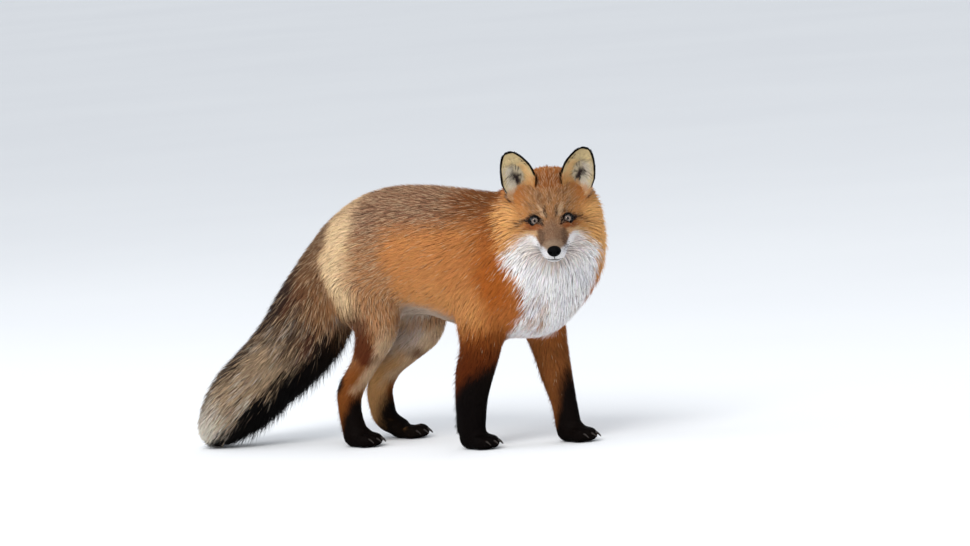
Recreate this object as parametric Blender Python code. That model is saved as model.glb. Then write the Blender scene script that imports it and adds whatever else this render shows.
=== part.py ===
"""A red fox in winter coat, life size, standing with its head turned to its right.

Metres. +X is the way the fox's body points, +Y its left, +Z up. The soles stand on Z = 0.
The body is modelled whole, out to the tips of the coat, and then parted with thin cuts.
"""

import math

import bmesh
import bpy
from mathutils import Matrix, Vector

# ---------------------------------------------------------------- driving sizes, metres
GAP = 0.0003  # between neighbouring pieces
SIDES = (("right", -1.0), ("left", 1.0))

# Head, in its own axes: X forward along the face, Y to its left, Z up, from between the eyes
EYE_POINT = Vector((0.309, -0.050, 0.387))
HEAD_TURN = math.radians(-50.0)  # heading of the face, from +X towards the right
HEAD_DIP = math.radians(15.0)  # the muzzle points this far below level
EYE_SPACING = 0.055  # between the middles of the eyeballs
EYE_FORWARD = 0.006
EYE_RADIUS = 0.0100
NOSE_FORWARD = 0.081
NOSE_LEVEL = -0.0285
NOSE_SIZE = (0.0095, 0.0118, 0.0090)  # half sizes
MOUTH_LEVEL = -0.0440
JAW_HEIGHT = 0.022
HEAD_BOWL = (0.118, 0.100, 0.104)  # half sizes of the round cut between head and neck

# Ears, in the head's axes, for the left side
EAR_ROOT = Vector((-0.052, 0.041, 0.010))
EAR_TIP = {-1.0: Vector((-0.072, 0.0625, 0.098)), 1.0: Vector((-0.072, 0.066, 0.096))}
EAR_OUTWARD = 0.20  # how far an ear's opening turns outward for each unit forward
EAR_HALF_WIDTH = 0.0315
EAR_TOP = 0.985  # how far up towards its tip an ear is built
EAR_BULGE = 3.6  # the higher, the fuller an ear's sides
EAR_ROUND = 0.58  # the lower, the blunter its tip
EAR_FOOT = 0.66  # an ear's width at its root, as a share
EAR_BOW = 0.005  # how far an ear's middle stands in from the line to its tip
EAR_CURL = 0.017  # how far an ear's edges stand forward of its middle
EAR_THICKNESS = 0.0030
EAR_ROOM = 0.0008  # clearance at an ear's corners, which leaves the gap at its faces

# Paws
TOES = 4
PAW_LENGTH = 0.066
PAW_WIDTH = 0.046
TOE_HEIGHT = 0.012
CLAW_LENGTH = 0.013
CLAW_THICKNESS = 0.0048

# Cuts between the trunk's lengths, along X, and between a leg's lengths, above the floor
CHEST_CUT = 0.085
RUMP_CUT = -0.085
TAIL_BOX_SHIFT = Vector((-0.0155, 0.0, 0.0065))  # square to the tail, away from the thighs
LEG_CUTS = {
    "foreleg": (("forearm", 0.172), ("forepaw", 0.062)),
    "hind_leg": (("shank", 0.200), ("hind_foot", 0.112), ("hind_paw", 0.043)),
}

# Grain of the fused body
VOXEL = 0.0036
CORE_SOFTENING = 60  # rounds of smoothing for trunk, neck and mane
SOFTENING = 6  # rounds of smoothing for the whole
BODY_TRIANGLES = 2640
RING = 20  # points round a section
STEPS = 5  # sections between two named ones

# Linear colours of the nodes, by the start of their names
COLOURS = {
    "ear": (0.05, 0.03, 0.02),
    "eye": (0.25, 0.10, 0.03),
    "nose": (0.010, 0.010, 0.012),
    "claw": (0.03, 0.025, 0.02),
    "muzzle": (0.55, 0.36, 0.22),
    "lower_jaw": (0.75, 0.72, 0.70),
    "neck": (0.55, 0.30, 0.14),
    "tail_base": (0.18, 0.11, 0.07),
    "tail_middle": (0.16, 0.12, 0.08),
    "tail_tip": (0.40, 0.35, 0.28),
    "hind_foot": (0.20, 0.09, 0.03),
    "hind_paw": (0.010, 0.008, 0.007),
    "forepaw": (0.010, 0.008, 0.007),
}
COAT_COLOUR = (0.42, 0.18, 0.06)

# Trunk, out to the coat: x, top, bottom, half width
TRUNK = (
    (-0.255, 0.337, 0.287, 0.022),
    (-0.240, 0.368, 0.250, 0.046),
    (-0.208, 0.393, 0.227, 0.066),
    (-0.148, 0.427, 0.216, 0.080),
    (-0.078, 0.445, 0.219, 0.084),
    (-0.003, 0.446, 0.218, 0.085),
    (0.062, 0.441, 0.200, 0.087),
    (0.127, 0.433, 0.185, 0.088),
    (0.185, 0.418, 0.178, 0.086),
    (0.235, 0.392, 0.182, 0.080),
    (0.275, 0.355, 0.200, 0.064),
    (0.300, 0.310, 0.232, 0.034),
)

# Neck and tail: x, y, z, half depth, half width
NECK = (
    (0.110, 0.000, 0.312, 0.108, 0.084),
    (0.190, 0.000, 0.328, 0.102, 0.087),
    (0.232, 0.006, 0.350, 0.092, 0.086),
    (0.246, 0.016, 0.384, 0.078, 0.080),
    (0.244, 0.020, 0.412, 0.060, 0.072),
)
TAIL = (
    (-0.180, 0.000, 0.362, 0.034, 0.034),
    (-0.212, -0.004, 0.325, 0.050, 0.048),
    (-0.232, -0.014, 0.275, 0.066, 0.062),
    (-0.258, -0.028, 0.217, 0.078, 0.070),
    (-0.293, -0.045, 0.167, 0.073, 0.068),
    (-0.343, -0.065, 0.120, 0.067, 0.064),
    (-0.393, -0.085, 0.075, 0.064, 0.059),
    (-0.430, -0.100, 0.037, 0.044, 0.045),
    (-0.455, -0.108, 0.016, 0.021, 0.024),
)

# Legs from the trunk down to the paw: x, y, z, half depth fore and aft, half width
LEGS = {
    "foreleg_right": (
        (0.146, -0.040, 0.302, 0.062, 0.044),
        (0.142, -0.050, 0.217, 0.050, 0.038),
        (0.135, -0.052, 0.166, 0.038, 0.033),
        (0.118, -0.052, 0.124, 0.035, 0.030),
        (0.109, -0.052, 0.087, 0.030, 0.027),
        (0.105, -0.052, 0.055, 0.027, 0.025),
        (0.102, -0.052, 0.026, 0.025, 0.024),
    ),
    "foreleg_left": (
        (0.171, 0.040, 0.302, 0.062, 0.044),
        (0.190, 0.050, 0.216, 0.046, 0.036),
        (0.201, 0.052, 0.163, 0.035, 0.031),
        (0.212, 0.052, 0.111, 0.029, 0.026),
        (0.222, 0.052, 0.072, 0.024, 0.022),
        (0.226, 0.052, 0.048, 0.023, 0.021),
        (0.229, 0.052, 0.025, 0.023, 0.022),
    ),
    "hind_leg_right": (
        (-0.158, -0.036, 0.330, 0.080, 0.046),
        (-0.119, -0.050, 0.269, 0.076, 0.042),
        (-0.090, -0.055, 0.216, 0.053, 0.036),
        (-0.100, -0.056, 0.176, 0.035, 0.028),
        (-0.128, -0.055, 0.134, 0.024, 0.021),
        (-0.158, -0.055, 0.096, 0.024, 0.022),
        (-0.162, -0.055, 0.060, 0.021, 0.020),
        (-0.155, -0.055, 0.026, 0.022, 0.021),
    ),
    "hind_leg_left": (
        (-0.152, 0.036, 0.330, 0.080, 0.046),
        (-0.102, 0.050, 0.264, 0.072, 0.042),
        (-0.080, 0.055, 0.204, 0.051, 0.036),
        (-0.120, 0.055, 0.153, 0.027, 0.029),
        (-0.159, 0.055, 0.122, 0.020, 0.025),
        (-0.186, 0.055, 0.088, 0.0235, 0.023),
        (-0.185, 0.055, 0.054, 0.024, 0.0215),
        (-0.175, 0.055, 0.031, 0.0205, 0.0215),
        (-0.143, 0.055, 0.0165, 0.015, 0.022),
    ),
}

# Head, along the face: distance forward of the eyes, middle height, half height, half width
SKULL = (
    (-0.104, -0.006, 0.046, 0.052),
    (-0.086, -0.004, 0.068, 0.070),
    (-0.066, -0.006, 0.067, 0.072),
    (-0.045, -0.009, 0.061, 0.067),
    (-0.020, -0.012, 0.050, 0.058),
    (0.000, -0.017, 0.041, 0.047),
    (0.018, -0.023, 0.032, 0.035),
    (0.038, -0.029, 0.024, 0.0265),
    (0.058, -0.033, 0.020, 0.0225),
    (0.072, -0.035, 0.0165, 0.0185),
    (0.080, -0.035, 0.011, 0.012),
)

# Mane of the neck, level sections: x, y, z, half depth along the face, half width across it
MANE = (
    (0.255, 0.008, 0.462, 0.026, 0.036),
    (0.258, 0.006, 0.448, 0.042, 0.062),
    (0.262, 0.004, 0.428, 0.052, 0.078),
    (0.265, 0.002, 0.400, 0.062, 0.090),
    (0.267, 0.000, 0.370, 0.068, 0.093),
    (0.267, -0.002, 0.340, 0.070, 0.095),
    (0.264, -0.002, 0.315, 0.070, 0.095),
    (0.259, 0.000, 0.290, 0.066, 0.090),
    (0.252, 0.000, 0.265, 0.063, 0.083),
    (0.244, 0.000, 0.240, 0.058, 0.071),
    (0.235, 0.000, 0.216, 0.048, 0.056),
    (0.226, 0.000, 0.198, 0.034, 0.038),
)


# ---------------------------------------------------------------- helpers
def clear_scene():
    """Remove every object already in the scene."""
    for old in list(bpy.data.objects):
        bpy.data.objects.remove(old)


def blend(rows, steps):
    """Rows of numbers with `steps` rows between each two, on a smooth curve through all of them."""
    made = []
    last = len(rows) - 1
    for index in range(last):
        before = rows[max(index - 1, 0)]
        here = rows[index]
        there = rows[index + 1]
        after = rows[min(index + 2, last)]
        for step in range(steps):
            t = step / steps
            made.append([
                0.5 * (2 * b + (c - a) * t + (2 * a - 5 * b + 4 * c - d) * t * t
                       + (3 * b - a - 3 * c + d) * t ** 3)
                for a, b, c, d in zip(before, here, there, after)
            ])
    made.append(list(rows[last]))
    return made


def object_of(name, bm):
    """A mesh object from a bmesh, with its faces pointing out."""
    bmesh.ops.recalc_face_normals(bm, faces=bm.faces)
    mesh = bpy.data.meshes.new(name)
    bm.to_mesh(mesh)
    bm.free()
    made = bpy.data.objects.new(name, mesh)
    bpy.context.scene.collection.objects.link(made)
    return made


def tube(name, sections, count=RING):
    """A closed body through sections of (centre, side vector, up vector)."""
    bm = bmesh.new()
    rings = []
    for centre, side, up in sections:
        ring = []
        for index in range(count):
            angle = 2 * math.pi * index / count
            ring.append(bm.verts.new(centre + side * math.cos(angle) + up * math.sin(angle)))
        rings.append(ring)
    for one, two in zip(rings, rings[1:]):
        for index in range(count):
            following = (index + 1) % count
            bm.faces.new((one[index], one[following], two[following], two[index]))
    bm.faces.new(rings[0])
    bm.faces.new(rings[-1])
    return object_of(name, bm)


def limb(name, rows):
    """A tube along rows of x, y, z, half depth and half width, its width kept along Y."""
    rows = blend(rows, STEPS)
    points = [Vector(row[:3]) for row in rows]
    sections = []
    for index, row in enumerate(rows):
        along = points[min(index + 1, len(rows) - 1)] - points[max(index - 1, 0)]
        along.normalize()
        side = Vector((0, 1, 0)) - along * along.y
        side.normalize()
        sections.append((points[index], side * row[4], along.cross(side) * row[3]))
    return tube(name, sections)


def ball(name, place, radii, turn=None, rings=16):
    """An ellipsoid with its three half sizes, turned by a matrix about its centre."""
    bm = bmesh.new()
    bmesh.ops.create_uvsphere(bm, u_segments=rings + 2, v_segments=rings, radius=1.0)
    matrix = Matrix.Translation(place) @ (turn or Matrix.Identity(4)) @ Matrix.Diagonal((*radii, 1.0))
    bmesh.ops.transform(bm, matrix=matrix, verts=bm.verts)
    return object_of(name, bm)


def block(name, centre, size, turn=None):
    """A box cutter with its centre, full sizes and turn."""
    bm = bmesh.new()
    bmesh.ops.create_cube(bm, size=1.0)
    matrix = Matrix.Translation(centre) @ (turn or Matrix.Identity(4)) @ Matrix.Diagonal((*size, 1.0))
    bmesh.ops.transform(bm, matrix=matrix, verts=bm.verts)
    return object_of(name, bm)


def settle(target):
    """Replace an object's mesh with what its modifiers make of it."""
    bpy.context.view_layer.update()
    graph = bpy.context.evaluated_depsgraph_get()
    mesh = bpy.data.meshes.new_from_object(target.evaluated_get(graph), depsgraph=graph)
    target.modifiers.clear()
    target.data = mesh


def keep_largest(target):
    """Drop loose crumbs that a cut leaves beside the main body."""
    bm = bmesh.new()
    bm.from_mesh(target.data)
    waiting = set(bm.verts)
    groups = []
    while waiting:
        group = []
        front = [waiting.pop()]
        while front:
            vert = front.pop()
            group.append(vert)
            for edge in vert.link_edges:
                other = edge.other_vert(vert)
                if other in waiting:
                    waiting.remove(other)
                    front.append(other)
        groups.append(group)
    groups.sort(key=len)
    for group in groups[:-1]:
        bmesh.ops.delete(bm, geom=group, context="VERTS")
    bm.to_mesh(target.data)
    bm.free()


def boolean(target, other, operation):
    """Join, cut or keep the shared part of two bodies."""
    cut = target.modifiers.new("cut", "BOOLEAN")
    cut.object = other
    cut.operation = operation
    cut.solver = "EXACT"
    settle(target)


def grown(name, source, distance):
    """A copy of a body with its surface moved out by a distance."""
    made = bpy.data.objects.new(name, source.data.copy())
    bpy.context.scene.collection.objects.link(made)
    swell = made.modifiers.new("swell", "DISPLACE")
    swell.strength = distance
    swell.mid_level = 0.0
    settle(made)
    return made


def head_matrix():
    """Head's own axes: X forward along the face, Y to its left, Z up, from between the eyes."""
    return (Matrix.Translation(EYE_POINT) @ Matrix.Rotation(HEAD_TURN, 4, "Z")
            @ Matrix.Rotation(HEAD_DIP, 4, "Y"))


def in_head(x, y, z):
    """A point of the head's own axes, placed on the fox."""
    return head_matrix() @ Vector((x, y, z))


# ---------------------------------------------------------------- the body, whole
def trunk_tube():
    """Trunk through upright sections."""
    sections = []
    for x, top, bottom, half in blend(TRUNK, STEPS):
        centre = Vector((x, 0.0, 0.5 * (top + bottom)))
        sections.append((centre, Vector((0, half, 0)), Vector((0, 0, 0.5 * (top - bottom)))))
    return tube("trunk_tube", sections)


def skull_tube():
    """Skull and muzzle through sections square to the face."""
    turn = head_matrix().to_3x3()
    sections = []
    for x, z, half_height, half_width in blend(SKULL, STEPS):
        side = turn @ Vector((0, half_width, 0))
        up = turn @ Vector((0, 0, half_height))
        sections.append((in_head(x, 0.0, z), side, up))
    return tube("skull_tube", sections)


def paw_pieces(name, rows):
    """A paw's pad and its toes, ahead of the last section of its leg."""
    x, y, rise = rows[-1][:3]
    half = 0.5 * PAW_WIDTH
    pieces = [ball(name + "_heel", Vector((x + 0.006, y, 0.68 * rise)), (0.029, half - 0.001, 0.80 * rise))]
    for toe in range(TOES):
        across = toe_across(toe)
        place = toe_place(x, y, across)
        pieces.append(ball(name + "_toe", place, (0.019, 0.0085, 0.0125), rings=10))
    return pieces


def toe_across(toe):
    """How far across the paw a toe lies, from -1 on its right to 1 on its left."""
    return (toe - 0.5 * (TOES - 1)) / (0.5 * (TOES - 1))


def toe_place(x, y, across):
    """The middle of a toe, for a leg that comes down at x, y."""
    reach = 0.6 * PAW_LENGTH - 0.010 * across * across
    return Vector((x + reach, y + across * (0.5 * PAW_WIDTH - 0.007), TOE_HEIGHT))


def fused(name, pieces, rounds, triangles=None):
    """One closed body out of several that run into each other, softened and thinned."""
    joined = bmesh.new()
    for piece in pieces:
        joined.from_mesh(piece.data)
        bpy.data.objects.remove(piece)
    body = object_of(name, joined)
    fuse = body.modifiers.new("fuse", "REMESH")
    fuse.mode = "VOXEL"
    fuse.voxel_size = VOXEL
    soften = body.modifiers.new("soften", "SMOOTH")
    soften.factor = 0.6
    soften.iterations = rounds
    settle(body)
    if triangles:
        thin = body.modifiers.new("thin", "DECIMATE")
        thin.ratio = triangles / (2 * len(body.data.polygons))
        settle(body)
    return body


def mane_tube():
    """The mane that hangs round the neck, from the nape to between the forelegs."""
    across = Matrix.Rotation(HEAD_TURN, 3, "Z") @ Vector((0, 1, 0))
    along = Matrix.Rotation(HEAD_TURN, 3, "Z") @ Vector((1, 0, 0))
    sections = []
    for x, y, z, half_depth, half_width in blend(MANE, STEPS):
        sections.append((Vector((x, y, z)), across * half_width, along * half_depth))
    return tube("mane_tube", sections)


def whole_body():
    """Every length of flesh and coat fused into one body with small flats underneath."""
    turn = head_matrix().to_3x3().to_4x4()
    core = [trunk_tube(), limb("neck_tube", NECK), mane_tube()]
    core.append(ball("beard", in_head(-0.030, 0.0, -0.056), (0.050, 0.044, 0.032), turn))
    core.append(ball("nape", Vector((0.202, 0.020, 0.375)), (0.078, 0.070, 0.072)))
    for name, rows in LEGS.items():
        core.append(limb(name + "_top", rows[:4]))
    pieces = [fused("core", core, CORE_SOFTENING), limb("tail_tube", TAIL), skull_tube()]
    for name, rows in LEGS.items():
        pieces.append(limb(name + "_tube", rows))
        pieces += paw_pieces(name, rows)
    body = fused("body", pieces, SOFTENING, BODY_TRIANGLES)
    floor = block("floor_cut", Vector((0, 0, -0.05)), (2.0, 2.0, 0.1))
    boolean(body, floor, "DIFFERENCE")
    bpy.data.objects.remove(floor)
    return body


# ---------------------------------------------------------------- ears, eyes, nose, claws
def ear(name, side):
    """A hollow ear facing forward and outward, its root inside the head."""
    mirror = Vector((1.0, side, 1.0))
    root = EAR_ROOT * mirror
    tip = EAR_TIP[side] * mirror
    rise = (tip - root).normalized()
    length = (tip - root).length
    facing = Vector((1.0, side * EAR_OUTWARD, 0.0))
    facing = (facing - rise * facing.dot(rise)).normalized()
    across = facing.cross(rise) * -side
    rows = 8
    columns = 6
    bm = bmesh.new()
    layers = []
    for shift in (0.0, -EAR_THICKNESS):
        grid = []
        for row in range(rows):
            t = EAR_TOP * (1.0 - (1.0 - row / (rows - 1)) ** 1.6)
            half = EAR_HALF_WIDTH * (1.0 - t ** EAR_BULGE) ** EAR_ROUND
            half *= EAR_FOOT + (1.0 - EAR_FOOT) * min(t / 0.45, 1.0)
            bow = EAR_BOW * math.sin(math.pi * t)
            curl = EAR_CURL * (1.0 - 0.75 * t)
            line = []
            for column in range(columns + 1):
                q = 2.0 * column / columns - 1.0
                thin = shift if abs(q) < 0.95 else shift * 0.6
                point = (root + rise * length * t + across * (half * q - bow)
                         + facing * (curl * q * q + thin))
                line.append(bm.verts.new(head_matrix() @ point))
            grid.append(line)
        layers.append(grid)
    front, back = layers
    for row in range(rows - 1):
        for column in range(columns):
            for grid in layers:
                corner = grid[row][column]
                far_corner = grid[row + 1][column + 1]
                bm.faces.new((corner, grid[row][column + 1], far_corner))
                bm.faces.new((corner, far_corner, grid[row + 1][column]))
    rim = [(0, c) for c in range(columns)] + [(r, columns) for r in range(rows - 1)]
    rim += [(rows - 1, c) for c in range(columns, 0, -1)] + [(r, 0) for r in range(rows - 1, 0, -1)]
    for (r, c), (r2, c2) in zip(rim, rim[1:] + rim[:1]):
        bm.faces.new((front[r][c], front[r2][c2], back[r2][c2]))
        bm.faces.new((front[r][c], back[r2][c2], back[r][c]))
    return object_of(name, bm)


def claw(name, x, y, across, swell):
    """A short curved claw that leaves the front of a toe and points down."""
    toe = toe_place(x, y, across)
    start = Vector((toe.x + 0.012, toe.y, toe.z + 0.003))
    sections = []
    for step in range(4):
        t = step / 3
        bend = math.radians(20 + 45 * t)
        centre = start + Vector((CLAW_LENGTH * t, 0.0, -0.5 * CLAW_LENGTH * t * t))
        size = 0.5 * CLAW_THICKNESS * (1.0 - 0.75 * t) + swell
        sections.append((centre, Vector((0, size * 0.75, 0)),
                         Vector((math.sin(bend), 0, math.cos(bend))) * size))
    return tube(name, sections, 6)


def coloured(target, colour, roughness):
    """Give a node its own material, in linear colour."""
    material = bpy.data.materials.new(target.name)
    material.use_nodes = True
    shader = material.node_tree.nodes["Principled BSDF"]
    shader.inputs["Base Color"].default_value = (*colour, 1.0)
    shader.inputs["Roughness"].default_value = roughness
    target.data.materials.clear()
    target.data.materials.append(material)
    target.data.shade_smooth()
    target.data.set_sharp_from_angle(angle=math.radians(40))


# ---------------------------------------------------------------- parting
def socket(body, room):
    """Cut room for a piece out of the body, then clear the cutter away."""
    boolean(body, room, "DIFFERENCE")
    bpy.data.objects.remove(room)
    keep_largest(body)


def split(body, name, kept, cleared):
    """Take what lies in a cutter off the body as a node, and clear a slightly larger room for it."""
    node = bpy.data.objects.new(name, body.data.copy())
    bpy.context.scene.collection.objects.link(node)
    boolean(node, kept, "INTERSECT")
    boolean(body, cleared, "DIFFERENCE")
    bpy.data.objects.remove(kept)
    bpy.data.objects.remove(cleared)
    keep_largest(node)
    keep_largest(body)
    return node


def part_off(body, name, centre, size, turn=None):
    """Take what lies in a box off the body as a node of its own, with a thin gap between."""
    kept = block("keep_box", centre, size, turn)
    cleared = block("cut_box", centre, [length + 2 * GAP for length in size], turn)
    return split(body, name, kept, cleared)


def beyond(body, name, point, direction, size):
    """Take off what lies beyond a plane, in a box of width, breadth and reach."""
    direction = Vector(direction).normalized()
    turn = direction.to_track_quat("Z", "Y").to_matrix().to_4x4()
    return part_off(body, name, Vector(point) + direction * 0.5 * size[2], size, turn)


def fitted_pieces(body):
    """Ears, eyes, nose and claws, each in its socket."""
    turn = head_matrix().to_3x3().to_4x4()
    nodes = []
    for side_name, side in SIDES:
        nodes.append(ear("ear_" + side_name, side))
        socket(body, grown("ear_room", nodes[-1], EAR_ROOM))
        place = in_head(EYE_FORWARD, 0.5 * side * EYE_SPACING, 0.0)
        nodes.append(ball("eye_" + side_name, place, [EYE_RADIUS] * 3, turn, rings=8))
        socket(body, ball("eye_room", place, [EYE_RADIUS + GAP] * 3, turn, rings=8))
    place = in_head(NOSE_FORWARD, 0.0, NOSE_LEVEL)
    nodes.append(ball("nose", place, NOSE_SIZE, turn, rings=8))
    socket(body, ball("nose_room", place, [size + GAP for size in NOSE_SIZE], turn, rings=8))
    for leg, rows in LEGS.items():
        x, y = rows[-1][:2]
        for toe in range(TOES):
            name = "claw_" + leg + "_" + str(toe + 1)
            nodes.append(claw(name, x, y, toe_across(toe), 0.0))
            socket(body, claw("claw_room", x, y, toe_across(toe), GAP))
    return nodes


def tail_pieces(body):
    """Tail in three lengths, tip first."""
    nodes = []
    for name, index in (("tail_tip", 7), ("tail_middle", 5), ("tail_base", 3)):
        here = Vector(TAIL[index][:3])
        before = Vector(TAIL[index - 1][:3])
        point = (here + before) / 2 + TAIL_BOX_SHIFT
        nodes.append(beyond(body, name, point, here - before, (0.20, 0.20, 0.20)))
    return nodes


def head_pieces(body):
    """Lower jaw, muzzle, head and neck, from the nose backwards."""
    turn = head_matrix().to_3x3().to_4x4()
    nodes = [
        part_off(body, "lower_jaw", in_head(0.060, 0.0, MOUTH_LEVEL - 0.5 * JAW_HEIGHT),
                 (0.080, 0.08, JAW_HEIGHT), turn),
        part_off(body, "muzzle", in_head(0.074, 0.0, 0.0), (0.100, 0.12, 0.20), turn),
    ]
    middle = in_head(0.0, 0.0, 0.008)
    nodes.append(split(body, "head", ball("keep_bowl", middle, HEAD_BOWL, turn),
                       ball("cut_bowl", middle, [size + GAP for size in HEAD_BOWL], turn)))
    nodes.append(beyond(body, "neck", (0.188, 0.0, 0.36), (0.93, 0.0, 0.36), (0.30, 0.27, 0.25)))
    return nodes


def leg_pieces(body):
    """Each leg cut level into its lengths, then its top off the trunk on a slope."""
    nodes = []
    for leg, rows in LEGS.items():
        kind, side_name = leg.rsplit("_", 1)
        side = dict(SIDES)[side_name]
        x = rows[0][0]
        for name, level in reversed(LEG_CUTS[kind]):
            centre = Vector((x, side * 0.1, 0.5 * level - 0.05))
            nodes.append(part_off(body, name + "_" + side_name, centre, (0.26, 0.2 - GAP, level + 0.1)))
    for leg, rows in LEGS.items():
        kind, side_name = leg.rsplit("_", 1)
        side = dict(SIDES)[side_name]
        fore = kind == "foreleg"
        x = rows[1][0] - (0.0 if fore else 0.012)
        name = ("upper_foreleg_" if fore else "thigh_") + side_name
        normal = Vector((0.0, -side * 0.80, 0.60) if fore else (0.0, -side * 0.88, 0.47)).normalized()
        point = Vector((x, side * 0.020, 0.212 if fore else 0.226))
        nodes.append(beyond(body, name, point, -normal, (0.135 if fore else 0.165, 0.30, 0.20)))
    return nodes


def trunk_pieces(body):
    """Chest and rump off the trunk, which leaves the belly."""
    chest = part_off(body, "chest", Vector((CHEST_CUT + 0.2, 0, 0.3)), (0.4, 0.6, 0.6))
    rump = part_off(body, "rump", Vector((RUMP_CUT - 0.2, 0, 0.3)), (0.4, 0.6, 0.6))
    body.name = "belly"
    return [chest, rump, body]


def stand_on_origin(nodes):
    """Move everything so that the origin is under the middle of the fox, on the floor."""
    corners = [vert.co for node in nodes for vert in node.data.vertices]
    low = [min(corner[axis] for corner in corners) for axis in range(3)]
    high = [max(corner[axis] for corner in corners) for axis in range(3)]
    shift = Vector((-0.5 * (low[0] + high[0]), -0.5 * (low[1] + high[1]), -low[2]))
    for node in nodes:
        node.data.transform(Matrix.Translation(shift))


def build():
    """The whole fox, node by node."""
    clear_scene()
    body = whole_body()
    nodes = fitted_pieces(body)
    nodes += tail_pieces(body)
    nodes += head_pieces(body)
    nodes += leg_pieces(body)
    nodes += trunk_pieces(body)
    stand_on_origin(nodes)
    for node in nodes:
        kind = next((key for key in COLOURS if node.name.startswith(key)), None)
        coloured(node, COLOURS.get(kind, COAT_COLOUR), 0.25 if kind in ("eye", "nose") else 0.85)


build()
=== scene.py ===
import itertools
import math

import bmesh
import bpy
import numpy as np
from mathutils import Matrix, Vector
from mathutils.bvhtree import BVHTree
from mathutils.kdtree import KDTree


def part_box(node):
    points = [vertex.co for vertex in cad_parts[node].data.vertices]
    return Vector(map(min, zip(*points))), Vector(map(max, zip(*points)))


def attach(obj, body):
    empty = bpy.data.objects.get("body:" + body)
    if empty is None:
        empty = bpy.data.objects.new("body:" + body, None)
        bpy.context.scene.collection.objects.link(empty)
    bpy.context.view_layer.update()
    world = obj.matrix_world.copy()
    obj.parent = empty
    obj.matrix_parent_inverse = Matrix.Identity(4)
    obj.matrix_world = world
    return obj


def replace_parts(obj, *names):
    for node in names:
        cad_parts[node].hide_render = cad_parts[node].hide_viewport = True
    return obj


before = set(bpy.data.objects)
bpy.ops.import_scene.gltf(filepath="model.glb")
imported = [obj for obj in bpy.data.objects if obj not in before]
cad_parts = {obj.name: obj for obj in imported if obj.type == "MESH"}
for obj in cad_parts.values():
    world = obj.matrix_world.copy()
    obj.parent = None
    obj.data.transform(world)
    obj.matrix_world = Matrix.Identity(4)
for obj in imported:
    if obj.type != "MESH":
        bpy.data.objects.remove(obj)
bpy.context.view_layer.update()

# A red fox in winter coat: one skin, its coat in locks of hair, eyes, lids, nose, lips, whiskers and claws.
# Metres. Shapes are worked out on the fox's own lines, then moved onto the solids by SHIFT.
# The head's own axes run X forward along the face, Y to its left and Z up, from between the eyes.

MM = 0.001
SIDES = (("right", -1.0), ("left", 1.0))

# ---------------------------------------------------------------- the fox's lines, out to the coat
EYE_POINT = Vector((0.309, -0.05, 0.387))
HEAD_TURN, HEAD_DIP = math.radians(-50.0), math.radians(15.0)
EYE_SPACING, EYE_FORWARD, EYE_RADIUS = 0.055, 0.006, 0.01
IRIS_RADIUS, CORNEA_RADIUS, CORNEA_EDGE = 0.0068, 0.0081, 0.0071
NOSE_FORWARD, NOSE_LEVEL = 0.081, -0.0285
EAR_ROOT = Vector((-0.052, 0.041, 0.01))
EAR_TIP = {-1.0: Vector((-0.072, 0.0625, 0.098)), 1.0: Vector((-0.072, 0.066, 0.096))}
EAR_OUTWARD, EAR_HALF_WIDTH, EAR_THICKNESS = 0.2, 0.0315, 0.003
EAR_TOP, EAR_BULGE, EAR_ROUND, EAR_FOOT = 0.985, 3.6, 0.58, 0.54
EAR_BOW, EAR_CURL = 0.005, 0.017
EAR_ROWS, EAR_COLUMNS, EAR_START = 56, 44, 0.15
EYE_POINTS, LID_POINTS = 48, 56  # round an eye and its lids
LID_GAP = 0.0002  # how far the lids stand off the eyeball
NOSE_ROWS, NOSE_POINTS = 48, 72
TOES, TOE_HEIGHT, PAW_LENGTH, PAW_WIDTH = 4, 0.012, 0.066, 0.046


def metres(*rows):
    """Rows of millimetres in metres."""
    return [[value / 1000 for value in row] for row in rows]


# Trunk: x, top, bottom, half width
TRUNK = metres(
    (-255, 337, 287, 22), (-240, 368, 250, 46), (-208, 393, 227, 66), (-148, 427, 216, 80),
    (-78, 445, 219, 84),
    (-3, 446, 218, 85), (62, 441, 200, 87), (127, 433, 185, 88), (185, 418, 178, 86),
    (235, 392, 182, 80), (275, 355, 200, 64), (300, 310, 232, 34))
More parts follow.
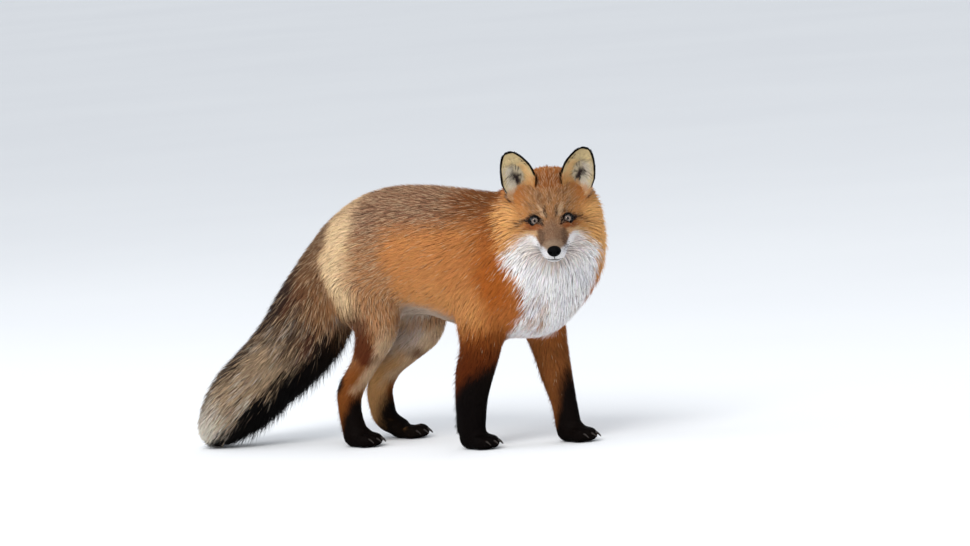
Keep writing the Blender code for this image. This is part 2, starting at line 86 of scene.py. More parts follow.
# Neck, tail and legs from the trunk out: x, y, z, half depth, half width
NECK = metres((110, 0, 312, 108, 84), (190, 0, 328, 102, 87), (232, 6, 350, 92, 86), (246, 16, 384, 78, 80),
              (244, 20, 412, 60, 72))
TAIL = metres(
    (-180, 0, 362, 34, 34), (-212, -4, 325, 50, 48), (-232, -14, 275, 66, 62), (-258, -28, 217, 78, 70),
    (-293, -45, 167, 73, 68), (-343, -65, 120, 67, 64), (-393, -85, 75, 64, 59), (-430, -100, 37, 44, 45),
    (-455, -108, 16, 21, 24))
LEGS = {
    "foreleg_right": metres(
        (146, -40, 302, 62, 44), (142, -50, 217, 50, 38), (135, -52, 166, 38, 33), (118, -52, 124, 35, 30),
        (109, -52, 87, 30, 27), (105, -52, 55, 27, 25), (102, -52, 26, 25, 24)),
    "foreleg_left": metres(
        (171, 40, 302, 62, 44), (190, 50, 216, 46, 36), (201, 52, 163, 35, 31), (212, 52, 111, 29, 26),
        (222, 52, 72, 24, 22), (226, 52, 48, 23, 21), (229, 52, 25, 23, 22)),
    "hind_leg_right": metres(
        (-158, -36, 330, 80, 46), (-119, -50, 269, 76, 42), (-90, -55, 216, 53, 36), (-100, -56, 176, 35, 28),
        (-128, -55, 134, 24, 21), (-158, -55, 96, 24, 22), (-162, -55, 60, 21, 20), (-155, -55, 26, 22, 21)),
    "hind_leg_left": metres(
        (-152, 36, 330, 80, 46), (-102, 50, 264, 72, 42), (-80, 55, 204, 51, 36), (-120, 55, 153, 27, 29),
        (-159, 55, 122, 20, 25), (-186, 55, 88, 23.5, 23), (-185, 55, 54, 24, 21.5),
        (-175, 55, 31, 20.5, 21.5), (-143, 55, 16.5, 15, 22)),
}
# Head, along the face: forward of the eyes, middle height, half height, half width
SKULL = metres(
    (-104, -6, 46, 52), (-86, -4, 68, 70), (-66, -6, 67, 72), (-45, -9, 61, 67), (-20, -12, 50, 58),
    (0, -17, 41, 47), (18, -23, 32, 35), (38, -29, 24, 26.5), (58, -33, 20, 22.5),
    (72, -35, 16.5, 18.5), (80, -35, 11, 12))
# Mane, level sections: x, y, z, half depth along the face, half width across it
MANE = metres(
    (255, 8, 462, 26, 36), (258, 6, 448, 42, 62), (262, 4, 428, 52, 78), (265, 2, 400, 62, 90),
    (267, 0, 370, 68, 93), (267, -2, 340, 70, 95), (264, -2, 315, 70, 95), (259, 0, 290, 66, 90),
    (252, 0, 265, 63, 83),
    (244, 0, 240, 58, 71), (235, 0, 216, 48, 56), (226, 0, 198, 34, 38))
MANE_MIDDLE = np.array((0.267, 0.0, 0.36))
NECK_MIDDLE = np.array((0.262, 0.0, 0.4))

CORE_VOXEL, CORE_SOFTENING = 0.0036, 60
SKIN_VOXEL, SKIN_SOFTENING = 0.0028, 8
RING, STEPS = 20, 5

# ---------------------------------------------------------------- the coat's numbers
LOCKS = 205_000  # in all
LONG_COATS = ("mane", "tail")  # their locks bend twice
LOCK_ROUNDING = 0.38  # how far the light turns across a lock
LOCK_LIFT = 0.55  # a lock's ridge over its half width
PIECE_LIMIT = 190_000  # triangles in one coat piece
SEED = 11
LEAST_HEIGHT = 0.0007  # of hair over the floor
ROOT_DEPTH = 0.0012  # how far a lock starts under the skin
TIP_DROP = 0.3  # how far a tip may end inside the outline, as a share of the coat's depth
TURN_SPREAD = 0.1  # how far locks stray from the lie of the coat, in radians
FINE_LOCKS, FINE_WIDTH = 0.1, 0.45  # share of the locks that are fine, and their width to the others'
FINE_REACH = 0.003  # how far fine locks stand out
LOOSE_LOCKS = 0.35  # share of the locks that may stand out where the coat is loose
PALE_TIPS, ANY_TIPS = 0.42, 0.66  # shares of locks with pale tips, and with pale or dark ones, where grizzled
ALONG_SLIP, AROUND_SLIP, EAR_HOLD = 0.2, 0.06, 0.95  # how far a lock's colour comes from, to its length

# Coat by the part of the body: depth, lock length and half width of a lock in mm
COATS = {"trunk": (13, 26, 1.05), "belly": (9, 20, 0.9), "neck": (17, 32, 1.1), "mane": (19, 36, 1.05),
         "crown": (8, 13, 0.7), "fluff": (6, 12, 0.2)}
HEAD_COAT = (((-0.06, 7), (-0.03, 4.5), (0, 2.6), (0.02, 1.6), (0.04, 1.1), (0.08, 0.7)),
             ((-0.06, 12), (-0.03, 8.5), (0, 6), (0.02, 4.4), (0.04, 3.4), (0.08, 2.4)),
             ((-0.06, 0.58), (0, 0.42), (0.03, 0.33), (0.08, 0.27)))  # by the place along the face
TAIL_COAT = (((0, 12), (0.2, 16), (0.4, 22), (0.8, 22), (0.93, 16), (1, 8)),
             ((0, 26), (0.3, 36), (0.8, 40), (1, 30)), ((0, 1), (1, 1)))  # by the place along the tail
LEG_COAT = (((0, 1.2), (0.03, 1.6), (0.06, 2.6), (0.12, 4.2), (0.17, 6.5), (0.24, 11)),
            ((0, 4.5), (0.03, 6), (0.06, 8.5), (0.12, 12), (0.17, 17), (0.24, 23)),
            ((0, 0.5), (0.06, 0.6), (0.12, 0.75), (0.24, 0.95)))  # by height
CROWDING = {"trunk": 1.7, "neck": 1.8, "mane": 2.3, "head": 0.8, "tail": 2.0}
SHARE_FADE = {"trunk": 0.012, "neck": 0.012, "mane": 0.01, "head": 0.004, "tail": 0.008}

# Colours of hair, sRGB; inner is paler than the inner legs' own hair, with painted light in it
HAIR = dict(
    flank="#BC7C48", rust="#A4551C", saddle="#6A3C1A", deep_red="#4A1604", back="#84604A", haunch="#A4744E",
    pale_tip="#C4A482", dark_tip="#4A342A", cream="#E3C296", white="#F0EDEC", cool_white="#C4C3C9",
    belly="#B5A494",
    foreleg="#68340E", hind="#7C451C", inner="#BE8E5C", black="#070505", tail="#8E7860", tail_upper="#4E3A2A",
    tail_dark="#241A18", tail_pale="#DED6C8", ruff="#E2A868", face="#AE7644", forehead="#8A5F3C",
    muzzle="#765B48",
    muzzle_side="#4E3A30", eye_shade="#7C3F20", ear_cream="#BBA67C", ear_grey="#A89C88", ear_dark="#1D1215")


def linear(code):
    """Linear colour of an sRGB hex code."""
    parts = [int(code[i:i + 2], 16) / 255 for i in (1, 3, 5)]
    return np.array([p / 12.92 if p <= 0.04045 else ((p + 0.055) / 1.055) ** 2.4 for p in parts])


HUE = {name: linear(code) for name, code in HAIR.items()}

# Dark lines round an eye, seen from ahead of the face: start, end, width and strength
EYE_LINES = (
    ((0.0085, 0.004), (0.0085, 0.019), 0.0026, 0.9), ((0.036, -0.002), (0.049, -0.004), 0.0034, 1.0),
    ((0.047, -0.003), (0.06, -0.013), 0.0034, 0.95), ((0.0185, -0.003), (0.0145, -0.011), 0.0042, 0.95),
    ((0.018, 0.0085), (0.034, 0.008), 0.0026, 0.7))
# The top of the white muzzle and cheek, seen from ahead: place across, height
WHITE_EDGE = (
    (0, -0.072), (0.01, -0.066), (0.0125, -0.05), (0.0165, -0.0465), (0.0205, -0.046), (0.0245, -0.036),
    (0.028, -0.028), (0.035, -0.0245), (0.052, -0.025), (0.066, -0.031), (0.076, -0.042), (0.086, -0.066))
# The bib's edges: height, place across
BIB_LEFT = (
    (0.182, 0), (0.2, 0.018), (0.215, 0.034), (0.246, 0.06), (0.288, 0.07), (0.32, 0.078), (0.345, 0.074),
    (0.36, 0.05))
BIB_RIGHT = (
    (0.178, -0.078), (0.184, -0.084), (0.2, -0.08), (0.225, -0.062), (0.246, -0.052), (0.27, -0.044),
    (0.288, -0.05), (0.306, -0.062), (0.325, -0.076), (0.345, -0.076), (0.36, -0.05))
RUFF_EDGE = ((0.296, 0.06), (0.338, 0.071), (0.371, 0.074), (0.421, 0.074))
# Borders of the trunk's colours, and the pale band round the rump: height and place along X, or the other way
BACK_BORDER = ((-0.09, 0.366), (0.01, 0.38), (0.098, 0.385), (0.165, 0.396), (0.225, 0.42))
HAUNCH_BORDER = ((0.2, 0.014), (0.24, 0.002), (0.31, -0.022), (0.37, -0.026))
BAND_FRONT = ((0.2, -0.085), (0.228, -0.096), (0.248, -0.101), (0.29, -0.104), (0.4, -0.101))
BAND_REAR = ((0.208, -0.145), (0.256, -0.16), (0.304, -0.171), (0.342, -0.18), (0.39, -0.165))
TAIL_BLACK = ((0.2, 1.1), (0.32, 0.62), (0.45, 0.4), (0.7, 0.34), (0.9, 0.42), (1, 0.7))
# Where black begins on each leg: (height, how far round from its front: 1 the very front, -1 the very rear)
STOCKINGS = {
    "foreleg_right": ((0.04, -1.4), (0.084, -0.95), (0.11, -0.3), (0.138, 0.55), (0.162, 1.3)),
    "foreleg_left": ((0.02, -1.3), (0.036, -0.55), (0.062, 0), (0.1, 0.45), (0.126, 0.85), (0.14, 1.3)),
    "hind_leg_right": ((0.012, -1.3), (0.034, -0.7), (0.056, 0), (0.088, 0.7), (0.106, 1.3)),
    "hind_leg_left": ((0.006, -1.3), (0.02, -0.6), (0.044, 0.1), (0.074, 0.7), (0.092, 1.3)),
}

# ---------------------------------------------------------------- small helpers
HEAD = Matrix.Translation(EYE_POINT) @ Matrix.Rotation(HEAD_TURN, 4, "Z") @ Matrix.Rotation(HEAD_DIP, 4, "Y")
HEAD_TURNED = np.array(HEAD.to_3x3())
FACING = np.array((math.cos(HEAD_TURN), math.sin(HEAD_TURN), 0.0))  # the face's level heading
ACROSS = np.array((-math.sin(HEAD_TURN), math.cos(HEAD_TURN), 0.0))  # to the head's left
UP = np.array((0.0, 0.0, 1.0))


def in_head(x, y, z):
    """A point of the head's own axes, on the fox."""
    return HEAD @ Vector((x, y, z))


def to_head(points):
    """Points of the fox in the head's own axes."""
    return (points - np.array(EYE_POINT)) @ HEAD_TURNED


EYE_LOW, EYE_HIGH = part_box("eye_right")
SHIFT = (EYE_LOW + EYE_HIGH) / 2 - in_head(EYE_FORWARD, -0.5 * EYE_SPACING, 0.0)


def smooth(value, start, end):
    """0 before start, 1 after end, eased between."""
    t = np.clip((value - start) / (end - start), 0.0, 1.0)
    return t * t * (3.0 - 2.0 * t)


def table(value, pairs):
    """A number read off pairs of (position, number)."""
    return np.interp(value, *zip(*pairs))


def unit(vectors):
    """Vectors made one long."""
    return vectors / np.maximum(np.linalg.norm(vectors, axis=-1, keepdims=True), 1e-9)


def lumps(points, size, seed):
    """Smooth noise from -1 to 1 with lumps of a size in metres."""
    grid = points / size
    base = np.floor(grid).astype(np.int64)
    part = grid - base
    part = part * part * (3.0 - 2.0 * part)
    total = np.zeros(len(points))
    for corner in itertools.product((0, 1), repeat=3):
        cell = base + np.array(corner)
        mixed = cell[:, 0] * 73856093 ^ cell[:, 1] * 19349663 ^ cell[:, 2] * 83492791 ^ seed * 9973
        mixed = (mixed ^ (mixed >> 13)) * 1274126177 & 0x7FFFFFFF
        mixed = (mixed ^ (mixed >> 16)) * 73244475 & 0x7FFFFFFF
        value = (mixed & 0xFFFF) / 32767.5 - 1.0
        total += value * np.prod(np.where(np.array(corner), part, 1.0 - part), axis=1)
    return total


def blend(rows):
    """Rows of numbers with STEPS rows between each two, on a smooth curve through all of them."""
    made = []
    for index in range(len(rows) - 1):
        near = [rows[min(max(index + step, 0), len(rows) - 1)] for step in (-1, 0, 1, 2)]
        for t in (step / STEPS for step in range(STEPS)):
            made.append([0.5 * (2 * b + (c - a) * t + (2 * a - 5 * b + 4 * c - d) * t * t
                                + (3 * b - a - 3 * c + d) * t ** 3) for a, b, c, d in zip(*near)])
    return made + [list(rows[-1])]


def link(name, mesh):
    """An object of a mesh, in the scene."""
    made = bpy.data.objects.new(name, mesh)
    bpy.context.scene.collection.objects.link(made)
    return made


def object_of(name, bm):
    """A mesh object from a bmesh, with its faces pointing out."""
    bmesh.ops.recalc_face_normals(bm, faces=bm.faces)
    mesh = bpy.data.meshes.new(name)
    bm.to_mesh(mesh)
    bm.free()
    return link(name, mesh)


def piece_of(name, points, faces, finish):
    """A piece from arrays of points and faces, riding on the fox with its finish."""
    sides = faces.shape[1]
    mesh = bpy.data.meshes.new(name)
    mesh.vertices.add(len(points))
    mesh.vertices.foreach_set("co", (points + np.array(SHIFT)).astype(np.float32).ravel())
    mesh.loops.add(faces.size)
    mesh.loops.foreach_set("vertex_index", faces.astype(np.int32).ravel())
    mesh.polygons.add(len(faces))
    mesh.polygons.foreach_set("loop_start", np.arange(0, faces.size, sides, dtype=np.int32))
    mesh.polygons.foreach_set("loop_total", np.full(len(faces), sides, dtype=np.int32))
    mesh.update(calc_edges=True)
    mesh.polygons.foreach_set("use_smooth", np.ones(len(faces), dtype=bool))
    mesh.materials.append(finish)
    made = link(name, mesh)
    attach(made, "root")
    return made


def mark(made, name, kind, values):
    """Keep an array of numbers on a piece's points."""
    key = {"FLOAT_COLOR": "color", "FLOAT_VECTOR": "vector"}[kind]
    data = made.data.attributes.new(name, kind, "POINT").data
    data.foreach_set(key, values.astype(np.float32).ravel())


# ---------------------------------------------------------------- lofts of the body
# Each is sections of (centre, side vector, up vector).
def limb(rows):
    """Sections along rows of x, y, z, half depth and half width, the width kept along Y."""
    rows = blend(rows)
    points = [Vector(row[:3]) for row in rows]
    sections = []
    for index, row in enumerate(rows):
        along = points[min(index + 1, len(rows) - 1)] - points[max(index - 1, 0)]
        along.normalize()
        side = Vector((0, 1, 0)) - along * along.y
        side.normalize()
        sections.append((points[index], side * row[4], along.cross(side) * row[3]))
    return sections


HEAD_AXES = HEAD.to_3x3()
LOFTS = {
    "trunk": [(Vector((x, 0, (top + bottom) / 2)), Vector((0, half, 0)), Vector((0, 0, (top - bottom) / 2)))
              for x, top, bottom, half in blend(TRUNK)],
    "neck": limb(NECK),
    "mane": [(Vector((x, y, z)), Vector(ACROSS) * half_width, Vector(FACING) * half_depth)
             for x, y, z, half_depth, half_width in blend(MANE)],
    "head": [(in_head(x, 0.0, z), HEAD_AXES @ Vector((0, wide, 0)), HEAD_AXES @ Vector((0, 0, high)))
             for x, z, high, wide in blend(SKULL)],
    "tail": limb(TAIL), **{name: limb(rows) for name, rows in LEGS.items()}}


def tube(sections):
    """A closed body through sections."""
    bm = bmesh.new()
    angles = [2 * math.pi * index / RING for index in range(RING)]
    rings = [[bm.verts.new(centre + side * math.cos(angle) + up * math.sin(angle)) for angle in angles]
             for centre, side, up in sections]
    for one, two in zip(rings, rings[1:]):
        for index in range(RING):
            following = (index + 1) % RING
            bm.faces.new((one[index], one[following], two[following], two[index]))
    bm.faces.new(rings[0])
    bm.faces.new(rings[-1])
    return object_of("tube", bm)


def ball(place, radii, turn=None, rings=16):
    """An ellipsoid with its three half sizes, turned by a matrix about its centre."""
    bm = bmesh.new()
    bmesh.ops.create_uvsphere(bm, u_segments=rings + 2, v_segments=rings, radius=1.0)
    matrix = Matrix.Translation(place) @ (turn or Matrix.Identity(4)) @ Matrix.Diagonal((*radii, 1.0))
    bmesh.ops.transform(bm, matrix=matrix, verts=bm.verts)
    return object_of("ball", bm)


def paw_pieces(rows):
    """A paw's pad and its toes, ahead of the last section of its leg."""
    x, y, rise = rows[-1][:3]
    half = 0.5 * PAW_WIDTH
    pieces = [ball(Vector((x + 0.006, y, 0.68 * rise)), (0.029, half - 0.001, 0.8 * rise))]
    for toe in range(TOES):
        across = (toe - 0.5 * (TOES - 1)) / (0.5 * (TOES - 1))
        reach = 0.6 * PAW_LENGTH - 0.01 * across * across
        place = Vector((x + reach, y + across * (half - 0.007), TOE_HEIGHT))
        pieces.append(ball(place, (0.019, 0.0085, 0.0125), rings=10))
    return pieces


def fused(pieces, voxel, rounds):
    """One closed body out of several that run into each other, softened."""
    joined = bmesh.new()
    for piece in pieces:
        joined.from_mesh(piece.data)
        bpy.data.objects.remove(piece)
    body = object_of("body", joined)
    fuse = body.modifiers.new("fuse", "REMESH")
    fuse.mode = "VOXEL"
    fuse.voxel_size = voxel
    soften = body.modifiers.new("soften", "SMOOTH")
    soften.factor = 0.6
    soften.iterations = rounds
    bpy.context.view_layer.update()
    graph = bpy.context.evaluated_depsgraph_get()
    mesh = bpy.data.meshes.new_from_object(body.evaluated_get(graph), depsgraph=graph)
    body.modifiers.clear()
    body.data = mesh
    return body


def coat_form():
    """Points and four-sided faces of the whole fox, out to the tips of its coat."""
    core = [tube(LOFTS[name]) for name in ("trunk", "neck", "mane")]
    core.append(ball(in_head(-0.03, 0.0, -0.056), (0.05, 0.044, 0.032), HEAD_AXES.to_4x4()))  # beard
    core.append(ball(Vector((0.202, 0.02, 0.375)), (0.078, 0.07, 0.072)))  # nape
    core += [tube(limb(rows[:4])) for rows in LEGS.values()]
    pieces = [fused(core, CORE_VOXEL, CORE_SOFTENING), tube(LOFTS["tail"]), tube(LOFTS["head"])]
    for name, rows in LEGS.items():
        pieces += [tube(LOFTS[name])] + paw_pieces(rows)
    body = fused(pieces, SKIN_VOXEL, SKIN_SOFTENING)
    points = np.zeros(len(body.data.vertices) * 3)
    body.data.vertices.foreach_get("co", points)
    points = points.reshape(-1, 3)
    faces = np.array([tuple(face.vertices) for face in body.data.polygons if len(face.vertices) == 4])
    bpy.data.objects.remove(body)
    points[:, 2] = np.maximum(points[:, 2], 0.0002)
    return points, faces


def facing_of(points, faces):
    """The outward direction at each point of a mesh of four-sided faces."""
    normal = np.cross(points[faces[:, 2]] - points[faces[:, 0]], points[faces[:, 3]] - points[faces[:, 1]])
    total = np.zeros_like(points)
    for corner, axis in itertools.product(range(4), range(3)):
        total[:, axis] += np.bincount(faces[:, corner], normal[:, axis], len(points))
    return unit(total)


def eased(values, faces, rounds, share=0.5):
    """Values at the points of a mesh, each drawn towards the mean of its neighbours."""
    pairs = np.concatenate([faces[:, (i, (i + 1) % 4)] for i in range(4)])
    pairs = np.concatenate([pairs, pairs[:, ::-1]])
    count = np.maximum(np.bincount(pairs[:, 0], minlength=len(values)), 1)
    values = values.reshape(len(values), -1)
    for _ in range(rounds):
        total = [np.bincount(pairs[:, 0], column[pairs[:, 1]], len(values)) for column in values.T]
        values = values + share * (np.stack(total, 1) / count[:, None] - values)
    return values


# ---------------------------------------------------------------- where a point is on the body
def located(sections, points):
    """How far along a loft from 0 to 1, across and up in half sizes, how far outside, and its run."""
    centres, sides, ups = (np.array(column) for column in zip(*sections))
    steps = np.gradient(centres, axis=0)
    near = np.zeros(len(points), int)
    best = np.full(len(points), 1e9)
    for index, centre in enumerate(centres):
        far = ((points - centre) ** 2).sum(1)
        closer = far < best
        near[closer] = index
        best[closer] = far[closer]
    offset, side, up, run = points - centres[near], sides[near], ups[near], unit(steps)[near]
    across = (offset * side).sum(1) / (side ** 2).sum(1)
    height = (offset * up).sum(1) / (up ** 2).sum(1)
    reach = np.minimum(np.linalg.norm(side, axis=1), np.linalg.norm(up, axis=1))
    ahead = (offset * run).sum(1)
    last = len(centres) - 1
    beyond = np.where((near == 0) | (near == last), np.abs(ahead), 0.0)
    outside = np.hypot(np.maximum(np.hypot(across, height) - 1.0, 0.0) * reach, beyond)
    part = np.clip(ahead / np.linalg.norm(steps, axis=1)[near], -0.5, 0.5)
    along = np.clip((near + part) / last, 0.0, 1.0)
    return {"along": along, "across": across, "up": height, "outside": outside, "run": run}


def shares(points):
    """Each part's share in each point, and where the point is on the part."""
    found = {name: located(sections, points) for name, sections in LOFTS.items()}
    share = {name: np.exp(-place["outside"] / SHARE_FADE.get(name, 0.008)) for name, place in found.items()}
    share["neck"] = share["neck"] * 0.5
    share["head"] = share["head"] * smooth(to_head(points)[:, 0], -0.075, -0.03) * 6.0 + 1e-9
    for name in LEGS:
        share[name] = share[name] * (1.0 - smooth(points[:, 2], 0.235, 0.3)) * 2.5
    total = sum(share.values())
    return found, {name: value / total for name, value in share.items()}


def legs_in(share):
    """The share of all four legs."""
    return sum(share[name] for name in LEGS)


def along_skin(flow, normals):
    """Directions laid down along the skin."""
    return unit(flow - normals * (flow * normals).sum(1)[:, None])


# ---------------------------------------------------------------- how the coat lies
def tables(value, rows):
    """Depth, lock length and half width read off their three tables."""
    return np.stack([table(value, row) for row in rows], 1)


def between(one, two, part):
    """The numbers of one coat passing into another's."""
    return np.array(COATS[one]) * (1 - part[:, None]) + np.array(COATS[two]) * part[:, None]


def coat_numbers(points, found, share):
    """Depth, lock length and half width of a lock, in metres, at each point."""
    face, height = to_head(points), points[:, 2]
    cheek = smooth(np.abs(face[:, 1]), 0.03, 0.06) * smooth(-face[:, 2], -0.01, 0.03)
    jaw = smooth(-face[:, 2], 0.04, 0.06) * smooth(-face[:, 0], -0.045, -0.01)
    fluff = np.clip(cheek + jaw, 0, 1)[:, None] * np.array(COATS["fluff"])
    numbers = {"trunk": between("trunk", "belly", smooth(-found["trunk"]["up"], 0.55, 0.95)),
               "neck": np.array(COATS["neck"]),
               "mane": between("mane", "crown", smooth(height, 0.405, 0.44)),
               "head": tables(face[:, 0], HEAD_COAT) + fluff,
               "tail": tables(found["tail"]["along"], TAIL_COAT)}
    total = sum(share[name][:, None] * value for name, value in numbers.items())
    return ((total + legs_in(share)[:, None] * tables(height, LEG_COAT)) * MM).T


def lie_of_coat(points, normals, found, share):
    """The direction in which the hair lies at each point, along the skin."""
    x, z, face = points[:, 0], points[:, 2], to_head(points)
    ones = np.ones(len(points))
    low = smooth(-found["trunk"]["up"], 0.6, 0.95)
    down = (0.1 + 0.32 * np.abs(found["trunk"]["across"]) + 0.55 * smooth(x, 0.08, 0.2)
            + 0.75 * smooth(-x, 0.1, 0.2))
    outward = np.tanh((points - MANE_MIDDLE) @ ACROSS / 0.035)[:, None] * ACROSS
    high, crown = smooth(z, 0.3, 0.37)[:, None], smooth(z, 0.4, 0.44)[:, None]
    hang = -0.35 * FACING + outward * (0.18 + 0.5 * high) - UP * (1.0 - 0.55 * high)
    back = -FACING + 0.1 * outward + 0.1 * UP
    rise = np.tanh((face[:, 2] + 0.018 - 0.25 * face[:, 0]) / 0.024)
    burst = np.stack([-ones, 1.3 * np.tanh(face[:, 1] / 0.022),
                      1.25 * rise - 0.55 * smooth(np.abs(face[:, 1]), 0.03, 0.06)], 1)
    flows = {"trunk": np.stack([-ones, 0.12 * np.sign(points[:, 1]), -down * (1 - low)], 1),
             "neck": np.array((-0.8, 0.0, -0.62)), "mane": hang * (1 - crown) + back * crown,
             "head": burst @ HEAD_TURNED.T, "tail": found["tail"]["run"] - 0.15 * UP}
    toe = smooth(-z, -0.034, -0.018)[:, None]
    for name in LEGS:
        down_leg = found[name]["run"] - np.array((0.12, 0, 0))
        flows[name] = down_leg * (1 - toe) + np.array((1.0, 0, -0.45)) * toe
    flow = along_skin(sum(share[name][:, None] * way for name, way in flows.items()), normals)
    turn = 0.13 * lumps(points, 0.024, 3) + 0.1 * lumps(points, 0.009, 4)
    return unit(flow * np.cos(turn)[:, None] + np.cross(normals, flow) * np.sin(turn)[:, None])


def beyond_ruff(points):
    """How far a point lies out behind the ruff's edge on the fox's right, in metres."""
    return -((points - NECK_MIDDLE) @ ACROSS) - table(points[:, 2], RUFF_EDGE)


def upward(normals, run):
    """How far the skin looks to the upper side of a limb."""
    return (normals * unit(UP - run * run[:, 2:3])).sum(1)


def loose_hair(points, normals, found, share):
    """How far loose hairs stand out of the coat at each point, in metres."""
    z, tail, mane, ruff = points[:, 2], share["tail"], share["mane"], share["head"] + share["mane"]
    behind = smooth(-normals[:, 0], 0.3, 0.75) * smooth(z, 0.018, 0.04)
    under = (smooth(-upward(normals, found["tail"]["run"]), 0.35, 0.8)
             * (1 - smooth(found["tail"]["along"], 0.9, 1.0)))
    chest = mane * smooth(normals @ FACING, 0.2, 0.6) * smooth(0.26 - z, 0.0, 0.05)
    edge = mane * np.exp(-((beyond_ruff(points) + 0.004) / 0.007) ** 2)
    sides = ruff * smooth(np.abs((points - MANE_MIDDLE) @ ACROSS), 0.05, 0.075)
    return (0.008 * legs_in(share) * behind + 0.015 * tail * under + 0.0035 * tail + 0.004 * chest
            + 0.006 * edge + 0.0055 * sides + 0.0035 * ruff * smooth(z, 0.422, 0.44))


# ---------------------------------------------------------------- markings
def spot(points, centre, radii, edge=0.35):
    """1 inside an oval spot, 0 outside, with a soft edge."""
    far = np.linalg.norm((points - np.array(centre)) / np.array(radii), axis=1)
    return 1.0 - smooth(far, 1.0 - edge, 1.0 + edge)


def streak(points, start, end, width):
    """1 on a narrow streak between two places, 0 off it, thinner towards its end."""
    start, end = np.array(start), np.array(end)
    run = end - start
    t = np.clip((points - start) @ run / run.dot(run), 0.0, 1.0)
    far = np.linalg.norm(points - start - t[:, None] * run, axis=1)
    return 1.0 - smooth(far / (width * (1.0 - 0.5 * t)), 0.5, 1.4)


def painted(under, *coats):
    """Hair colours laid over others in turn: pairs of a colour's name and how much of it."""
    for name, amount in coats:
        under = under + (HUE[name] - under) * np.reshape(np.clip(amount, 0, 1), (-1, 1))
    return under


def face_colour(points):
    """Colour of the head's hair and how grizzled it is."""
    face = to_head(points)
    level = face[:, 2] * 0.94 - face[:, 0] * 0.34  # height as the face is seen from ahead
    ragged = 0.0016 * lumps(points, 0.004, 21) + 0.0018 * lumps(points, 0.01, 22)
    across, up = np.abs(face[:, 1]) + ragged, level + ragged
    flat = np.stack([across, up], 1)
    forehead, crown = spot(flat, (0, 0.036), (0.04, 0.044)), spot(flat, (0, 0.074), (0.032, 0.026), 0.5)
    # fine dark streaks that run up from between the eyes
    fan = np.arctan2(face[:, 1], level + 0.03)
    comb = lumps(np.stack([fan * 0.06, level * 0.22, 0 * fan], 1), 0.003, 23)
    bristle = smooth(lumps(points, 0.0035, 24), 0.1, 0.6) * spot(flat, (0, -0.032), (0.02, 0.026), 0.4)
    white = 1.0 - smooth(up - table(across, WHITE_EDGE), -0.0035, 0.0035)
    # rows of dark specks where the whiskers root
    speckled = 0.7 * smooth(-up, 0.036, 0.04) * (1 - smooth(-up, 0.05, 0.056))
    specks = [np.exp(-((across - 0.0175 - 0.0028 * row) / 0.0009) ** 2)
              * (0.5 + 0.5 * np.cos(2 * math.pi * (up + 0.001 * row) / 0.0042)) for row in range(4)]
    colour = painted(
        HUE["face"],
        ("ruff", smooth(across, 0.046, 0.066) * (1 - smooth(up, 0.01, 0.04))),
        ("rust", 0.45 * spot(flat, (0.052, 0.04), (0.016, 0.02), 0.5)),
        ("forehead", 0.85 * forehead),
        ("dark_tip", 0.45 * forehead * smooth(comb, 0.1, 0.75)),
        ("muzzle", 0.92 * spot(flat, (0, -0.034), (0.024, 0.032), 0.45)),
        ("ear_grey", 0.3 * spot(flat, (0, -0.047), (0.016, 0.012), 0.5) * smooth(face[:, 0], 0.03, 0.05)),
        ("muzzle_side", 0.35 * bristle),
        ("muzzle_side", 0.75 * streak(flat, (0.0185, -0.024), (0.0205, -0.046), 0.0065)),
        ("eye_shade", 0.9 * spot(flat, (0.029, -0.0125), (0.014, 0.0065), 0.5)),
        ("pale_tip", 0.7 * streak(flat, (0.013, 0.007), (0.0175, 0.021), 0.0042)),
        ("rust", 0.55 * crown),
        ("foreleg", 0.45 * crown),
        ("cream", 0.45 * streak(flat, (0.028, -0.0215), (0.05, -0.0205), 0.005)),
        *(("ear_dark", amount * streak(flat, start, end, width)) for start, end, width, amount in EYE_LINES),
        ("white", white),
        ("cool_white", 0.5 * white * spot(flat, (0.016, -0.054), (0.012, 0.01), 0.5)),
        ("white", spot(face, (0.078, 0, -0.04), (0.014, 0.018, 0.01), 0.3)),
        *(("ear_dark", speckled * row) for row in specks))
    return colour, (0.16 + 0.5 * forehead) * (1 - white)


def bib(points, normals, across):
    """How white the throat and bib are at each point."""
    ragged = 0.007 * lumps(points, 0.013, 31) + 0.006 * lumps(points, 0.005, 32)
    z = points[:, 2] + ragged
    inside = (smooth(table(z, BIB_LEFT) - across - ragged, -0.005, 0.006)
              * smooth(across - ragged - table(z, BIB_RIGHT), -0.006, 0.008))
    ahead = smooth(normals @ FACING, -0.15, 0.2)
    return inside * ahead * smooth(z, 0.17, 0.186) * (1.0 - smooth(z, 0.35, 0.365))


